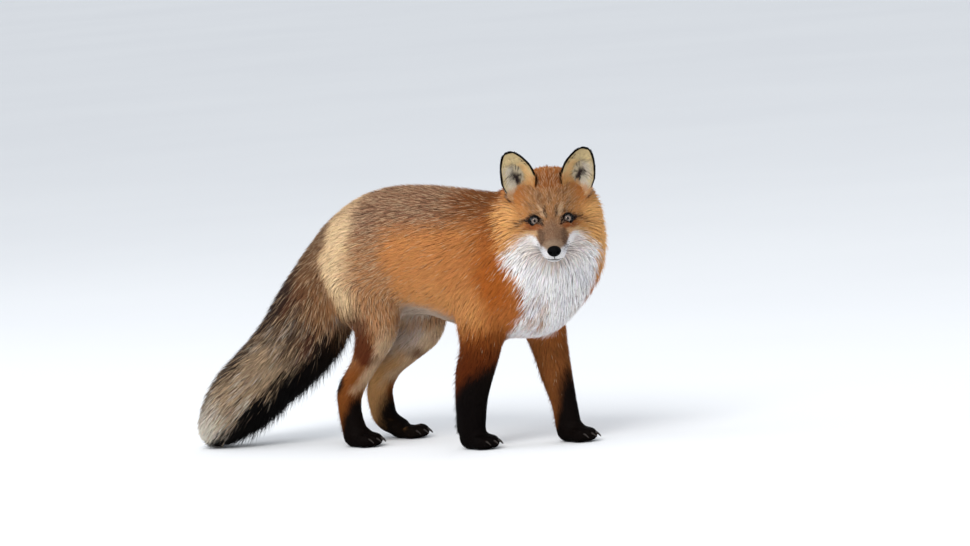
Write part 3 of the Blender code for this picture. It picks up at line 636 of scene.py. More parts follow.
def body_colour(points, normals, wave):
    """Colour of the trunk's hair, with painted light low on the flank and painted shade by the ruff's edge,
    and how grizzled it is.
    """
    x, z = points[:, 0], points[:, 2]
    back = smooth(z + wave - table(x, BACK_BORDER), -0.024, 0.026)
    haunch = smooth(table(z, HAUNCH_BORDER) - x + 1.4 * wave, -0.016, 0.02)
    saddle = back * smooth(x + wave, 0.06, 0.15)
    down = smooth(-normals[:, 2], 0.45, 0.8) * (1 - smooth(x, 0.08, 0.13)) * smooth(0.26 - z, 0, 0.03)
    colour = painted(
        HUE["flank"],
        ("rust", 0.55 * smooth(x + wave, 0.14, 0.2)),
        # darker on the shoulder under the ruff's edge: partly the shoulder's own rust hair, partly painted
        # shade cast by the ruff
        ("rust", 0.7 * spot(points, (0.207, -0.08, 0.295), (0.034, 0.06, 0.045), 0.5)),
        # painted light: the lower flank is lightened towards the ruff's colour, to lift the shade that falls
        # there
        ("ruff", 0.22 * smooth(0.31 - z, 0, 0.06) * (1 - smooth(x, 0.16, 0.2))),
        ("haunch", 0.9 * haunch),
        ("back", 0.95 * back),
        ("back", 0.35 * haunch * smooth(z, 0.3, 0.38)),
        ("saddle", 0.9 * saddle),
        ("belly", 0.9 * down))
    grizzle = np.maximum(0.8 * back * (1 - 0.65 * saddle), 0.62 * haunch) * (1 - down)
    return colour, np.maximum(grizzle, 0.08 * (1 - smooth(x, 0.05, 0.14)))


def tail_colour(points, normals, place):
    """Colour of the tail's hair and how grizzled it is."""
    upper = upward(normals, place["run"]) + 0.14 * lumps(points, 0.014, 51) + 0.14 * lumps(points, 0.006, 52)
    along = place["along"] + 0.02 * lumps(points, 0.02, 54)
    past_root = smooth(along, 0.36, 0.58)
    zone = smooth(along, 0.04, 0.12) * (1 - past_root)
    clouds = smooth(lumps(points, 0.018, 53), 0.05, 0.6) * smooth(along, 0.12, 0.2)
    under = smooth(-upper - table(along, TAIL_BLACK), -0.16, 0.16)
    tip = smooth(along, 0.68, 0.9)
    colour = painted(
        HUE["tail"],
        ("haunch", 0.8 * (1 - smooth(along, 0.05, 0.12))),
        ("tail_upper", 0.92 * zone),
        ("deep_red", 0.55 * zone * smooth(lumps(points, 0.026, 55), 0, 0.5)),
        ("tail_dark", 0.6 * clouds * (1 - 0.75 * past_root)),
        ("tail_pale", 0.4 * smooth(lumps(points, 0.014, 56), 0.15, 0.7) * smooth(along, 0.2, 0.6)),
        ("tail_pale", 0.95 * tip),
        ("tail_dark", 0.95 * smooth(upper, 0.56, 0.86) * smooth(along, 0.06, 0.14) * (1 - 0.5 * tip)),
        ("black", under * smooth(along, 0.18, 0.3) * (1 - smooth(along, 0.95, 1))))
    return colour, 0.34 * (1 - under) * (1 - 0.5 * tip)


def leg_colour(name, points, normals, trunk, trunk_grizzle):
    """Colour of a leg's hair, with painted light on the inner side of a hind leg, and how grizzled it is."""
    side = -1.0 if name.endswith("right") else 1.0
    ragged = 0.007 * lumps(points, 0.012, 61) + 0.005 * lumps(points, 0.005, 62)
    z, ahead = points[:, 2] + ragged, normals[:, 0] + 10 * ragged
    if name.startswith("hind"):
        inner = -side * normals[:, 1]
        hock = LEGS[name][5]
        hock_spot = (hock[0] - 0.008, side * 0.06, hock[2] + 0.018)
        colour = painted(
            HUE["hind"],
            ("haunch", 0.7 * smooth(z, 0.12, 0.18)),
            # the inner side: its own paler buff and grey hair, lightened further as painted light against the
            # shade under the belly
            ("inner", 0.9 * smooth(inner, 0, 0.5) * (1 - smooth(z, 0.13, 0.18))),
            ("pale_tip", 0.97 * smooth(inner, 0.1, 0.6) * smooth(z, 0.12, 0.17)),
            ("cool_white", 0.4 * smooth(inner, 0.1, 0.6) * smooth(z, 0.14, 0.19)),
            ("pale_tip", 0.9 * smooth(ahead, 0.18, 0.62) * smooth(z, 0.085, 0.125)),
            ("black", 0.95 * spot(points, hock_spot, (0.018, 0.024, 0.016))))
        high, reach = smooth(z, 0.18, 0.235), 0.25 * smooth(z, 0.13, 0.18)
    else:
        red, pale = (0.62, 0.0) if side < 0 else (0.186, 0.25)
        colour = painted(
            HUE["foreleg"],
            ("rust", 0.45 * smooth(z, 0.15, 0.21)),
            ("deep_red", red * (1 - smooth(z, 0.16, 0.235))),
            ("flank", pale))
        high, reach = smooth(z, 0.195, 0.245), 0.03
    black = smooth(ahead - table(z, STOCKINGS[name]), -0.55, 0.55)
    colour = painted(colour, ("black", 0.99 * black))
    colour = colour + (trunk - colour) * high[:, None]
    return colour, (reach * (1 - high) + trunk_grizzle * high) * (1 - black)


def markings(points, normals, found, share):
    """Colour of the coat, with painted light and shade in places, and how grizzled it is, at each point."""
    x, y, z = points.T
    wave = 0.008 * lumps(points, 0.03, 41) + 0.005 * lumps(points, 0.01, 42)
    trunk, trunk_grizzle = body_colour(points, normals, wave)
    crown, withers = smooth(z, 0.405, 0.44), smooth(z, 0.32, 0.4)
    # darker behind the ruff: partly the nape's own rust and saddle hair, partly painted shade cast by the
    # ruff
    behind = np.maximum(smooth(-((points - NECK_MIDDLE) @ FACING), 0.002, 0.022),
                        smooth(beyond_ruff(points), 0, 0.01))
    mane = painted(
        HUE["ruff"],
        ("rust", 0.95 * smooth(-z, -0.335, -0.275)),
        ("forehead", 0.8 * crown),
        ("rust", 0.5 * crown),
        ("rust", 0.95 * behind),
        ("saddle", 0.75 * behind * withers))
    hair = {"trunk": (trunk, trunk_grizzle),
            # the neck behind the ruff: its own rust and saddle hair, darkened further as painted shade of the
            # ruff
            "neck": (painted(trunk, ("rust", 0.6), ("saddle", 0.6 * withers)), 0.2),
            "mane": (mane, 0.1 + 0.3 * crown), "head": face_colour(points),
            "tail": tail_colour(points, normals, found["tail"]),
            **{name: leg_colour(name, points, normals, trunk, trunk_grizzle) for name in LEGS}}
    colour = sum(share[name][:, None] * hue for name, (hue, _) in hair.items())
    grizzle = sum(share[name] * grey for name, (_, grey) in hair.items())
    # the pale band round the rump, between the haunch and the dark root of the tail
    front, rear = table(z, BAND_FRONT), table(z, BAND_REAR)
    hips = share["trunk"] + share["tail"] + share["hind_leg_right"] + share["hind_leg_left"]
    band = (smooth(front + 1.4 * wave - x, -0.028, 0.03) * smooth(x + wave - rear, -0.02, 0.012)
            * hips * smooth(z, 0.195, 0.225))
    tail_root = share["trunk"] + share["tail"] * (1 - smooth(found["tail"]["along"], 0.08, 0.2))
    paling = (1 - 0.45 * smooth(z, 0.385, 0.42)) * (0.72 + 0.28 * smooth(z, 0.22, 0.29))
    colour = painted(
        colour,
        ("tail_upper", 0.7 * tail_root * smooth(rear - wave - x, -0.004, 0.026)),
        ("cream", 0.97 * band * paling))
    # the deep red patch at the back of each thigh
    for side_name, side in SIDES:
        name = "hind_leg_" + side_name
        flat = points[:, (0, 2)] - np.array((LEGS[name][2][0] + 0.09, 0.0)) + 0.6 * wave[:, None]
        red = (streak(flat, (-0.114, 0.212), (-0.094, 0.162), 0.038) * smooth(side * y, 0.02, 0.045)
               * smooth(share[name] + share["trunk"], 0.3, 0.7))
        colour = painted(colour, ("deep_red", 0.84 * red))
        grizzle = grizzle * (1 - red)
    # the white bib with its brown stain
    across = (points - np.array(EYE_POINT)) @ ACROSS
    white = (bib(points, normals, across) * (1 - share["tail"]) * (1 - share["head"])
             * (1 - smooth(legs_in(share), 0.15, 0.55)))
    stain = spot(np.stack([across, z], 1), (-0.029, 0.235), (0.02, 0.03), 0.6)
    strands = lumps(np.stack([across, 0.25 * z, 0 * z], 1), 0.0045, 73)
    colour = painted(
        colour,
        ("white", white),
        ("cool_white", 0.55 * white * smooth(lumps(points, 0.02, 71), 0, 0.6)),
        ("haunch", 0.35 * white * smooth(lumps(points, 0.007, 72), 0.35, 0.8) * smooth(0.3 - z, 0, 0.04)),
        ("haunch", 0.9 * white * stain * smooth(strands, -0.3, 0.4)))
    return np.clip(colour, 0.0015, 1.0), np.clip(grizzle * (1 - 0.7 * band) * (1 - white), 0, 1)


# ---------------------------------------------------------------- skin
GAZE = math.radians(20.0)  # the eyes look this far above the face's own axis
GAZE_AXES = np.array(((math.cos(GAZE), 0.0, math.sin(GAZE)), (0.0, 1.0, 0.0),
                      (-math.sin(GAZE), 0.0, math.cos(GAZE))))  # ahead, left, up
LID_INNER, LID_OUTER, LID_HEIGHT = 0.0105, 0.0079, 0.0049  # from the eye's middle to the nose, outward and up
SOCKET_FLOOR = -0.003  # how far ahead of the eye's middle the skin behind it lies
SOCKET_EDGE = (1.06, 1.4)  # where the skin starts to sink and where it is whole, to the lids' opening
SHRINK_ROUNDS = 6


def eye_middle(side):
    """The middle of an eyeball in the head's axes."""
    return np.array((EYE_FORWARD, 0.5 * side * EYE_SPACING, 0.0))


def by_eye(points, side):
    """Points of the fox from the middle of an eye: ahead of it, outward and up, along the gaze."""
    return ((to_head(points) - eye_middle(side)) @ GAZE_AXES.T) * np.array((1.0, side, 1.0))


def from_eye_to_fox(places, side):
    """Places ahead of, outward of and above the middle of an eye, as points of the fox."""
    turned = (np.atleast_2d(places) * np.array((1.0, side, 1.0))) @ GAZE_AXES + eye_middle(side)
    return turned @ HEAD_TURNED.T + np.array(EYE_POINT)


def lid_droop(outward):
    """How far the lids' corner by the nose hangs."""
    return 0.0032 * smooth(-outward, 0.004, 0.012)


def in_lids(points, side):
    """Below 1 within the opening of an eye's lids, seen along the gaze."""
    ahead, outward, up = by_eye(points, side).T
    reach = np.where(outward > 0, LID_OUTER, LID_INNER)
    metric = np.hypot(outward / reach, (up + lid_droop(outward)) / LID_HEIGHT)
    return np.where(ahead > -0.012, metric, 9.0)


def skin_under(points, faces, depth):
    """The skin inside the coat: the coat's outline drawn in by its depth."""
    step = (depth / SHRINK_ROUNDS)[:, None]
    for _ in range(SHRINK_ROUNDS):
        points = eased(points - facing_of(points, faces) * step, faces, 1, 0.3)
    return points


def with_sockets(skin):
    """The skin pressed back behind each eye."""
    made = skin.copy()
    for _, side in SIDES:
        place = by_eye(skin, side)
        press = 1.0 - smooth(in_lids(skin, side), *SOCKET_EDGE)
        place[:, 0] += (np.minimum(place[:, 0], SOCKET_FLOOR) - place[:, 0]) * press
        made = np.where(press[:, None] > 0, from_eye_to_fox(place, side), made)
    return made


def quads(rows, count, closed=True):
    """Faces between rows of points, each row round on itself where it is closed."""
    return np.array([(row * count + index, row * count + (index + 1) % count,
                      (row + 1) * count + (index + 1) % count, (row + 1) * count + index)
                     for row in range(rows - 1) for index in range(count if closed else count - 1)])


def ear_grid(side):
    """Points, faces and place on the ear of a hollow ear's two sides, and its axes."""
    mirror = np.array((1.0, side, 1.0))
    root, tip = np.array(EAR_ROOT) * mirror, np.array(EAR_TIP[side]) * mirror
    rise, length = unit(tip - root), np.linalg.norm(tip - root)
    facing = np.array((1.0, side * EAR_OUTWARD, 0.0))
    facing = unit(facing - rise * facing.dot(rise))
    across = np.cross(facing, rise) * -side
    edge_depth = 0.0008 + 0.3 * EAR_THICKNESS
    points, notes = [], []
    for layer, shift in ((1.0, -0.0004), (-1.0, -0.0012 - 0.5 * EAR_THICKNESS)):
        for row in range(EAR_ROWS):
            t = -EAR_START + (EAR_TOP + EAR_START) * (1.0 - (1.0 - row / (EAR_ROWS - 1)) ** 1.6)
            half = EAR_HALF_WIDTH * (1.0 - max(t, 0.0) ** EAR_BULGE) ** EAR_ROUND
            half = half * (EAR_FOOT + (1.0 - EAR_FOOT) * min(t / 0.45, 1.0)) - 0.0004
            bow = EAR_BOW * math.sin(math.pi * t) + 0.011 * (1.0 - min(t / 0.35, 1.0)) ** 2
            curl = EAR_CURL * (1.0 - 0.75 * t)
            for q in 2.0 * np.arange(EAR_COLUMNS + 1) / EAR_COLUMNS - 1.0:
                depth = (shift + edge_depth) * math.sqrt(max(1.0 - abs(q) ** 6, 0.0)) - edge_depth
                points.append(root + rise * length * t + across * (half * q - bow)
                              + facing * (curl * q * q + depth))
                from_rim = min((1.0 - abs(q)) * half, (EAR_TOP - t) * length + 0.1 * half)
                notes.append((layer, t, q, from_rim / MM))
    row_size, last = EAR_COLUMNS + 1, EAR_ROWS - 1
    count = EAR_ROWS * row_size
    grid = quads(EAR_ROWS, row_size, closed=False)
    rim = [*range(EAR_COLUMNS), *(row * row_size + EAR_COLUMNS for row in range(last)),
           *(last * row_size + column for column in range(EAR_COLUMNS, 0, -1)),
           *(row * row_size for row in range(last, 0, -1))]
    walls = [(a, a + count, b + count, b) for a, b in zip(rim, rim[1:] + rim[:1])]
    faces = np.concatenate([grid, grid[:, ::-1] + count, walls])
    points, notes = np.array(points) @ HEAD_TURNED.T + np.array(EYE_POINT), np.array(notes)
    rise, across, facing = (HEAD_TURNED @ axis for axis in (rise, across, facing))
    if (facing_of(points, faces) @ facing * notes[:, 0]).sum() < 0:
        faces = faces[:, ::-1]
    return points, faces, notes, (rise, across, facing)


def ear_coat(points, notes, axes):
    """Colour, lie, depth, length and width of the hair on an ear."""
    layer, t, q, from_rim = notes.T
    inner, rim = layer > 0, from_rim < 1.2
    ragged = lumps(points, 0.004, 81)
    across, rise = (q - 0.28) * EAR_HALF_WIDTH, (t - 0.49) * 0.098
    combed = np.stack([np.arctan2(rise, across) * 0.022, np.hypot(across, rise) * 0.25, layer], 1)
    comb = lumps(combed, 0.0026, 82)
    from_hollow = np.hypot(across / 0.012, rise / 0.015) + 0.25 * ragged
    rim_width = 2.1 + 1.5 * smooth(t, 0.5, 0.88) + 0.7 * smooth(-q, 0.2, 0.8)
    edge = 1 - smooth(from_rim + 0.4 * ragged, rim_width, rim_width + 0.9)
    foot = 1 - smooth(t + 0.1 * q + 0.04 * ragged, 0.2, 0.4)
    # pale hair combed in from the sides, with dark hair between it round the ear's deep hollow, and painted
    # shade in the hollow itself
    colour = painted(
        HUE["ear_cream"],
        ("white", 0.45 * smooth(q, 0.1, 0.6) * (1 - smooth(t, 0.62, 0.8))),
        # grey, then near black, towards the ear's deep hollow: partly its darker hair, partly painted shade
        # of the recess
        ("ear_grey", 0.75 * (1 - smooth(from_hollow, 1.2, 2.4))),
        ("ear_dark", 0.8 * smooth(comb, 0, 0.45) * (1 - smooth(from_hollow, 1.5, 3))),
        ("ear_dark", 0.97 * (1 - smooth(from_hollow, 0.45, 1.25))),
        ("ruff", 0.5 * smooth(-q, 0.3, 0.8) * (1 - smooth(t, 0.6, 0.85))),
        ("ear_cream", 0.8 * (smooth(from_rim, 1.6, 2.6) - smooth(from_rim, 4, 6))),
        ("black", edge * smooth(t, 0.34, 0.44)),
        ("face", 0.9 * foot),
        ("ruff", 0.5 * foot * smooth(-q, 0, 0.6)),
        ("cream", 0.45 * foot * smooth(comb, 0, 0.5)))
    back = painted(HUE["black"], ("rust", 0.85 * (1 - smooth(t + 0.05 * ragged, 0.26, 0.44))))
    colour = np.where(inner[:, None], colour, back)
    upright, sideways, facing = axes
    sides, high, outer = (value[:, None] for value in (
        smooth(np.abs(q), 0.15, 0.5), smooth(t, 0.55, 0.9), smooth(q, 0.3, 0.9)))
    outward = np.sign(q)[:, None] * sideways
    lie = np.select(
        [(foot > 0.5)[:, None], rim[:, None], inner[:, None]],
        [upright * (1 - 0.7 * outer) + (0.35 * q[:, None] + 0.7 * outer) * sideways,
         upright * (1 - 0.8 * high) + (0.15 - 0.9 * high) * outward,
         upright * (0.75 - 0.2 * sides - 1.1 * high) - outward * 0.9 * sides + facing * 0.25 * sides],
        upright + 0.25 * outward)
    fringe = smooth(from_rim, 3, 5) * (1 - smooth(from_rim, 10, 16)) * (1 - smooth(t, 0.75, 0.95))
    length = np.select([t > 0.93, foot > 0.5, rim, inner],
                       [2.0, 11 + 3 * outer[:, 0], 2.8, 6 + 8 * fringe], 5.0)
    depth = np.select([foot > 0.5, inner], [4.5, 0.7 + 3.4 * fringe], 0.9)
    width = np.where(inner, 0.34, 0.38) + 0.15 * foot
    return colour, lie, depth * MM, length * MM, width * MM


def mouth_height(across):
    """How high the line of the mouth is at a distance across the muzzle, in the head's axes."""
    return -0.0436 - 0.075 * across - 0.0012 * np.minimum(np.abs(across) / 0.013, 1.3) ** 2


def dressed_skin():
    """The whole skin with its ears, and what the coat needs to know at each point of it."""
    outline, body_faces = coat_form()
    outward = facing_of(outline, body_faces)
    found, share = shares(outline)
    depth, length, width = coat_numbers(outline, found, share)
    bare = skin_under(outline, body_faces, eased(depth, body_faces, 12)[:, 0])
    bare[:, 2] = np.maximum(bare[:, 2], 0.001)
    skin = with_sockets(bare)
    colour, grizzle = markings(outline, outward, found, share)
    part = np.argmax(np.stack(list(share.values()), 1), 1)
    across, up, along = (np.stack([place[key] for place in found.values()], 1)[np.arange(len(skin)), part]
                         for key in ("across", "up", "along"))
    open_eye = np.minimum(in_lids(skin, -1.0), in_lids(skin, 1.0))
    colour = painted(colour, ("ear_dark", 0.94 * (1 - smooth(open_eye, 1.25, 1.65))))
    # no hair grows in the eyes, on the nose pad or along the mouth, and little under the feet
    face = to_head(outline)
    from_nose = (face - np.array((NOSE_FORWARD, 0.0, NOSE_LEVEL))) / np.array((0.012, 0.0125, 0.0098))
    mouth = np.abs(face[:, 2] - mouth_height(face[:, 1])) + 0.004 * smooth(0.05 - face[:, 0], 0, 0.01)
    haired = ((open_eye > 0.96) & (np.linalg.norm(from_nose, axis=1) > 1)
              & ((share["head"] <= 0.5) | (mouth >= 0.0012)))
    crowd = sum(value * CROWDING.get(name, 0.8) for name, value in share.items()) / (2 * width * length)
    data = {"skin": skin, "rise": outline - bare, "normal": facing_of(skin, body_faces),
            "lie": lie_of_coat(outline, outward, found, share), "length": length, "width": width,
            "colour": colour, "grizzle": grizzle,
            "crowd": crowd * haired * np.where(outline[:, 2] < 0.0012, 0.35, 1.0), "part": part,
            "angle": np.arctan2(across, up) / (2 * math.pi) + 0.5, "along": along,
            "ear": np.zeros(len(skin)), "loose": loose_hair(outline, outward, found, share)}
    faces = body_faces
    for _, side in SIDES:
        points, ear_faces, notes, axes = ear_grid(side)
        hues, lie, deep, long, wide = ear_coat(points, notes, axes)
        normals, none = facing_of(points, ear_faces), np.zeros(len(points))
        layer, t, q, _ = notes.T
        ear = {"skin": points, "rise": normals * deep[:, None], "normal": normals,
               "lie": along_skin(lie, normals), "length": long, "width": wide, "colour": hues,
               "grizzle": none, "crowd": 1.9 / (2 * wide * long) * smooth(t, -0.04, 0.03),
               "part": np.full(len(points), len(LOFTS)), "angle": 0.24 * (q + 1) + 0.25 * (side + 1),
               "along": 0.25 * (1 - layer) + 0.48 * t, "ear": none + 1, "loose": none}
        faces = np.concatenate([faces, ear_faces + len(data["skin"])])
        data = {key: np.concatenate([value, ear[key]]) for key, value in data.items()}
    return data, faces, outline, bare, body_faces


# ---------------------------------------------------------------- locks of hair
def chosen(data, faces, count, rng):
    """Roots spread over the skin, closer where the coat is finer."""
    corners = np.concatenate([faces[:, (0, 1, 2)], faces[:, (0, 2, 3)]])
    a, b, c = (data["skin"][corners[:, i]] for i in range(3))
    area = 0.5 * np.linalg.norm(np.cross(b - a, c - a), axis=1)
    weight = area * data["crowd"][corners].mean(1) * (data["crowd"][corners].min(1) > 0)
    pick = np.searchsorted(np.cumsum(weight), (np.arange(count) + rng.random(count)) / count * weight.sum())
    pick = corners[np.minimum(pick, len(corners) - 1)]
    one = rng.random(count)
    two = rng.random(count)
    over = one + two > 1
    one, two = np.where(over, 1 - one, one), np.where(over, 1 - two, two)
    return pick, np.stack([1 - one - two, one, two], 1)


def read_off(values, pick, mix):
    """A value of the skin's points at each root."""
    found = values[pick]
    return (found * (mix if found.ndim == 2 else mix[:, :, None])).sum(1)


def bent_locks(root, control, tip, outward, width, stations):
    """Points, triangles and shading directions of closed three-sided locks along bent lines.

    Level and side of each point come with them: level 0 at the root and 1 at the tip, side -1 to 1 across.
    """
    rings, lit = [root], [outward]
    for t in stations:
        centre = root * (1 - t) ** 2 + control * (2 * t * (1 - t)) + tip * t * t
        along = unit((control - root) * (1 - t) + (tip - control) * t)
        wide = unit(np.cross(along, outward))
        radius = (width * (1.0 if t < 0.5 else 0.8))[:, None]
        rings += [centre - wide * radius, centre + wide * radius,
                  centre + np.cross(wide, along) * radius * LOCK_LIFT]
        lit += [outward - wide * LOCK_ROUNDING, outward + wide * LOCK_ROUNDING, outward]
    points = np.stack(rings + [tip], 1)
    size = points.shape[1]
    pattern = [(0, 1 + side, 1 + (side + 1) % 3) for side in range(3)]
    for level, side in itertools.product(range(len(stations) - 1), range(3)):
        a, b = 1 + 3 * level + side, 1 + 3 * level + (side + 1) % 3
        pattern += [(a, a + 3, b + 3), (a, b + 3, b)]
    pattern += [(size - 4 + side, size - 1, size - 4 + (side + 1) % 3) for side in range(3)]
    pattern = np.array(pattern)
    first = points[0][pattern[0]]
    if np.cross(first[1] - first[0], first[2] - first[0]).dot(first.mean(0) - points[0][1:4].mean(0)) < 0:
        pattern = pattern[:, ::-1]
    faces = (np.arange(len(root)) * size)[:, None, None] + pattern[None]
    level = np.array([0.0, *np.repeat(stations, 3), 1.0])
    side = np.array([0.0, *[-1.0, 1.0, 0.0] * len(stations), 0.0])
    return points, faces.reshape(-1, 3), unit(np.stack(lit + [outward], 1)), level, side


def grown_coat(data, faces, outline, outline_faces):
    """Locks over the whole skin as arrays, one entry for each."""
    rng = np.random.default_rng(SEED)
    count = LOCKS
    pick, mix = chosen(data, faces, count, rng)
    skin, rise, normal, lie, length, width, ear, loose, angle, along = (
        read_off(data[key], pick, mix) for key in
        ("skin", "rise", "normal", "lie", "length", "width", "ear", "loose", "angle", "along"))
    near = pick[np.arange(count), rng.integers(0, 3, count)]
    # each lock takes its colour from a place near its root, so that the colours mingle
    known = KDTree(len(data["skin"]))
    for index, place in enumerate(data["skin"]):
        known.insert(place, index)
    known.balance()
    slip = skin + lie * (length * rng.normal(0.0, ALONG_SLIP, count))[:, None]
    slip += rng.normal(0.0, AROUND_SLIP, (count, 3)) * length[:, None]
    slip += (skin - slip) * (EAR_HOLD * ear)[:, None]
    source = np.array([known.find(place)[1] for place in slip])
    source = np.where((data["ear"][source] > 0.5) == (ear > 0.5), source, near)
    normal, lie = unit(normal), unit(lie)
    turn = rng.normal(0.0, TURN_SPREAD, count)[:, None]
    lie = unit(lie * np.cos(turn) + np.cross(normal, lie) * np.sin(turn))
    length = length * (1.0 + 0.14 * lumps(skin, 0.012, 91)) * rng.uniform(0.7, 1.2, count)
    width = width * rng.uniform(0.65, 1.25, count)
    fine = rng.random(count) < FINE_LOCKS
    width = np.where(fine, width * FINE_WIDTH, width)
    root = skin - normal * ROOT_DEPTH
    deep = np.linalg.norm(rise, axis=1)
    tip = root + rise + lie * length[:, None]
    # tips end on the coat's outline, some a little under it and loose ones beyond it
    tree = BVHTree.FromPolygons([tuple(point) for point in outline], [tuple(face) for face in outline_faces])
    drop = rng.random(count) ** 2 * TIP_DROP
    stray = np.where(fine, rng.uniform(0.0, FINE_REACH, count), 0.0) * smooth(deep, 0.002, 0.01)
    stray += loose * np.where(rng.random(count) < LOOSE_LOCKS, rng.random(count) ** 1.5, 0.0)
    out = normal.copy()
    for index in np.nonzero(ear < 0.5)[0]:
        place, facing, _, _ = tree.find_nearest(tip[index])
        tip[index] = np.array(place) + np.array(facing) * (stray[index] - drop[index] * deep[index])
        out[index] = facing
    control = root + rise * 0.8 + lie * (length * 0.3)[:, None]
    for points in (root, control, tip):
        points[:, 2] = np.maximum(points[:, 2], LEAST_HEIGHT)
    shade = np.exp(rng.normal(0.0, 0.07, count) + 0.06 * lumps(skin, 0.006, 92))[:, None]
    body = data["colour"][source] * shade * (1.0 + rng.normal(0.0, 0.03, (count, 3)))
    fate = rng.random(count)
    grizzle = data["grizzle"][source]
    light = (fate < PALE_TIPS * grizzle)[:, None]
    dark = ((fate > PALE_TIPS * grizzle) & (fate < ANY_TIPS * grizzle))[:, None]
    return {"root": root, "control": control, "tip": tip, "out": unit(out + 0.4 * normal), "width": width,
            "low": body * (0.78 + 0.14 * smooth(body.mean(1), 0.3, 0.65)[:, None]),
            "middle": body * np.where(light, 0.85, np.where(dark, 0.8, 1.0)),
            "end": np.where(light, HUE["pale_tip"] * shade,
                            np.where(dark, HUE["dark_tip"] * shade, body * 1.07)),
            "part": data["part"][near], "angle": angle, "along": along, "chance": rng.random(count)}


def covered(colour):
    """Colours from 0 to 1 with full cover."""
    return np.concatenate([np.clip(colour, 0, 1), np.ones((*colour.shape[:-1], 1))], -1)


def coat_piece(name, hair, stations, finish):
    """One joined mesh of some of the locks, with its colours, strand places and bake map."""
    points, faces, lit, level, side = bent_locks(
        *(hair[key] for key in ("root", "control", "tip", "out", "width")), stations)
    points[:, :, 2] = np.maximum(points[:, :, 2], 0.0004)
    made = piece_of(name, points.reshape(-1, 3), faces, finish)
    made.data.normals_split_custom_set_from_vertices(lit.reshape(-1, 3).astype(np.float32))
    t = level[None, :, None]
    low, middle, end = (hair[key][:, None, :] for key in ("low", "middle", "end"))
    colour = np.where(t < 0.5, low + (middle - low) * (2 * t), middle + (end - middle) * (2 * t - 1))
    mark(made, "coat", "FLOAT_COLOR", covered(colour))
    chance, angle, along = (hair[key][:, None] for key in ("chance", "angle", "along"))
    around = chance * 40.0 + side[None] * 0.5
    mark(made, "strand", "FLOAT_VECTOR", np.stack([around, level[None] + chance * 7.0, 0 * around], 2))
    patch = np.stack([0.004 + 0.99 * angle + 0.0015 * side[None],
                      0.004 + 0.99 * along + 0.003 * level[None]], 2)
    flat = patch.reshape(-1, 2)[faces.ravel()]
    made.data.uv_layers.new(name="OFBake").data.foreach_set("uv", flat.astype(np.float32).ravel())


# ---------------------------------------------------------------- finishes
def add(tree, kind, settings=None, links=None, stops=()):
    """A shader node with its settings and what feeds its sockets: a number, a colour or another socket.

    A colour ramp's stops are pairs of its place and colour.
    """
    made = tree.nodes.new("ShaderNode" + kind)
    for name, value in (settings or {}).items():
        setattr(made, name, value)
    for name, value in (links or {}).items():
        socket = made.inputs[name]
        if isinstance(value, bpy.types.NodeSocket):
            tree.links.new(value, socket)
        else:
            socket.default_value = value
    for index, (place, code) in enumerate(stops):
        made.color_ramp.elements[index].position = place
        made.color_ramp.elements[index].color = covered(linear(code))
    return made


def blank(name):
    """A new material and its empty tree."""
    material = bpy.data.materials.new(name)
    material.use_nodes = True
    material.node_tree.nodes.clear()
    return material, material.node_tree


def finish_of(name, rough, gloss, **settings):
    """A new finish with its roughness and gloss, its tree and its shader."""
    material, tree = blank(name)
    shader = add(tree, "BsdfPrincipled", links={
        "Roughness": rough, "Specular IOR Level": gloss, **settings})
    add(tree, "OutputMaterial", links={"Surface": shader.outputs[0]})
    return material, tree, shader


def grained(tree, shader, colour, grain, tones, relief, strength, depth):
    """A colour made darker and lighter by a grain, and raised by a relief of some depth in metres."""
    reach = dict(zip(("From Min", "From Max", "To Min", "To Max"), tones))
    level = add(tree, "MapRange", links={"Value": grain, **reach})
    tinted = add(tree, "VectorMath", {"operation": "SCALE"}, {
        0: colour, "Scale": level.outputs[0]})
    raised = add(tree, "Bump", links={"Strength": strength, "Distance": depth, "Height": relief})
    tree.links.new(tinted.outputs[0], shader.inputs["Base Color"])
    tree.links.new(raised.outputs[0], shader.inputs["Normal"])


def guard_hair(name, rough):
    """Winter guard hair in locks: fine lengthwise strands and a soft, low gloss along them."""
    material, tree, shader = finish_of(name, rough, 0.05, IOR=1.45)
    coat = add(tree, "Attribute", {"attribute_name": "coat"})
    strand = add(tree, "Attribute", {"attribute_name": "strand"})
    # Six strands or so across a lock and long runs along it: single hairs are finer than the eye sees here.
    place = add(tree, "Mapping", links={
        "Vector": strand.outputs["Vector"], "Scale": (7.0, 1.6, 1.0)})
    grain = add(tree, "TexNoise", links={
        "Vector": place.outputs[0], "Scale": 1.0, "Detail": 3.0, "Roughness": 0.6}).outputs["Fac"]
    grained(tree, shader, coat.outputs["Color"], grain, (0.3, 0.7, 0.8, 1.18), grain, 0.25, 0.4 * MM)
    return material


def underfur():
    """The skin under its underfur: dull, darker than the coat, with a felted grain about 1.2 mm across."""
    material, tree, shader = finish_of("underfur", 0.85, 0.05)
    coat = add(tree, "Attribute", {"attribute_name": "coat"})
    place = add(tree, "TexCoord").outputs["Object"]
    grain = add(tree, "TexNoise", links={
        "Vector": place, "Scale": 1 / (1.2 * MM), "Detail": 4.0, "Roughness": 0.6}).outputs["Fac"]
    grained(tree, shader, coat.outputs["Color"], grain, (0.25, 0.75, 0.66, 1.0), grain, 0.6, 0.6 * MM)
    return material


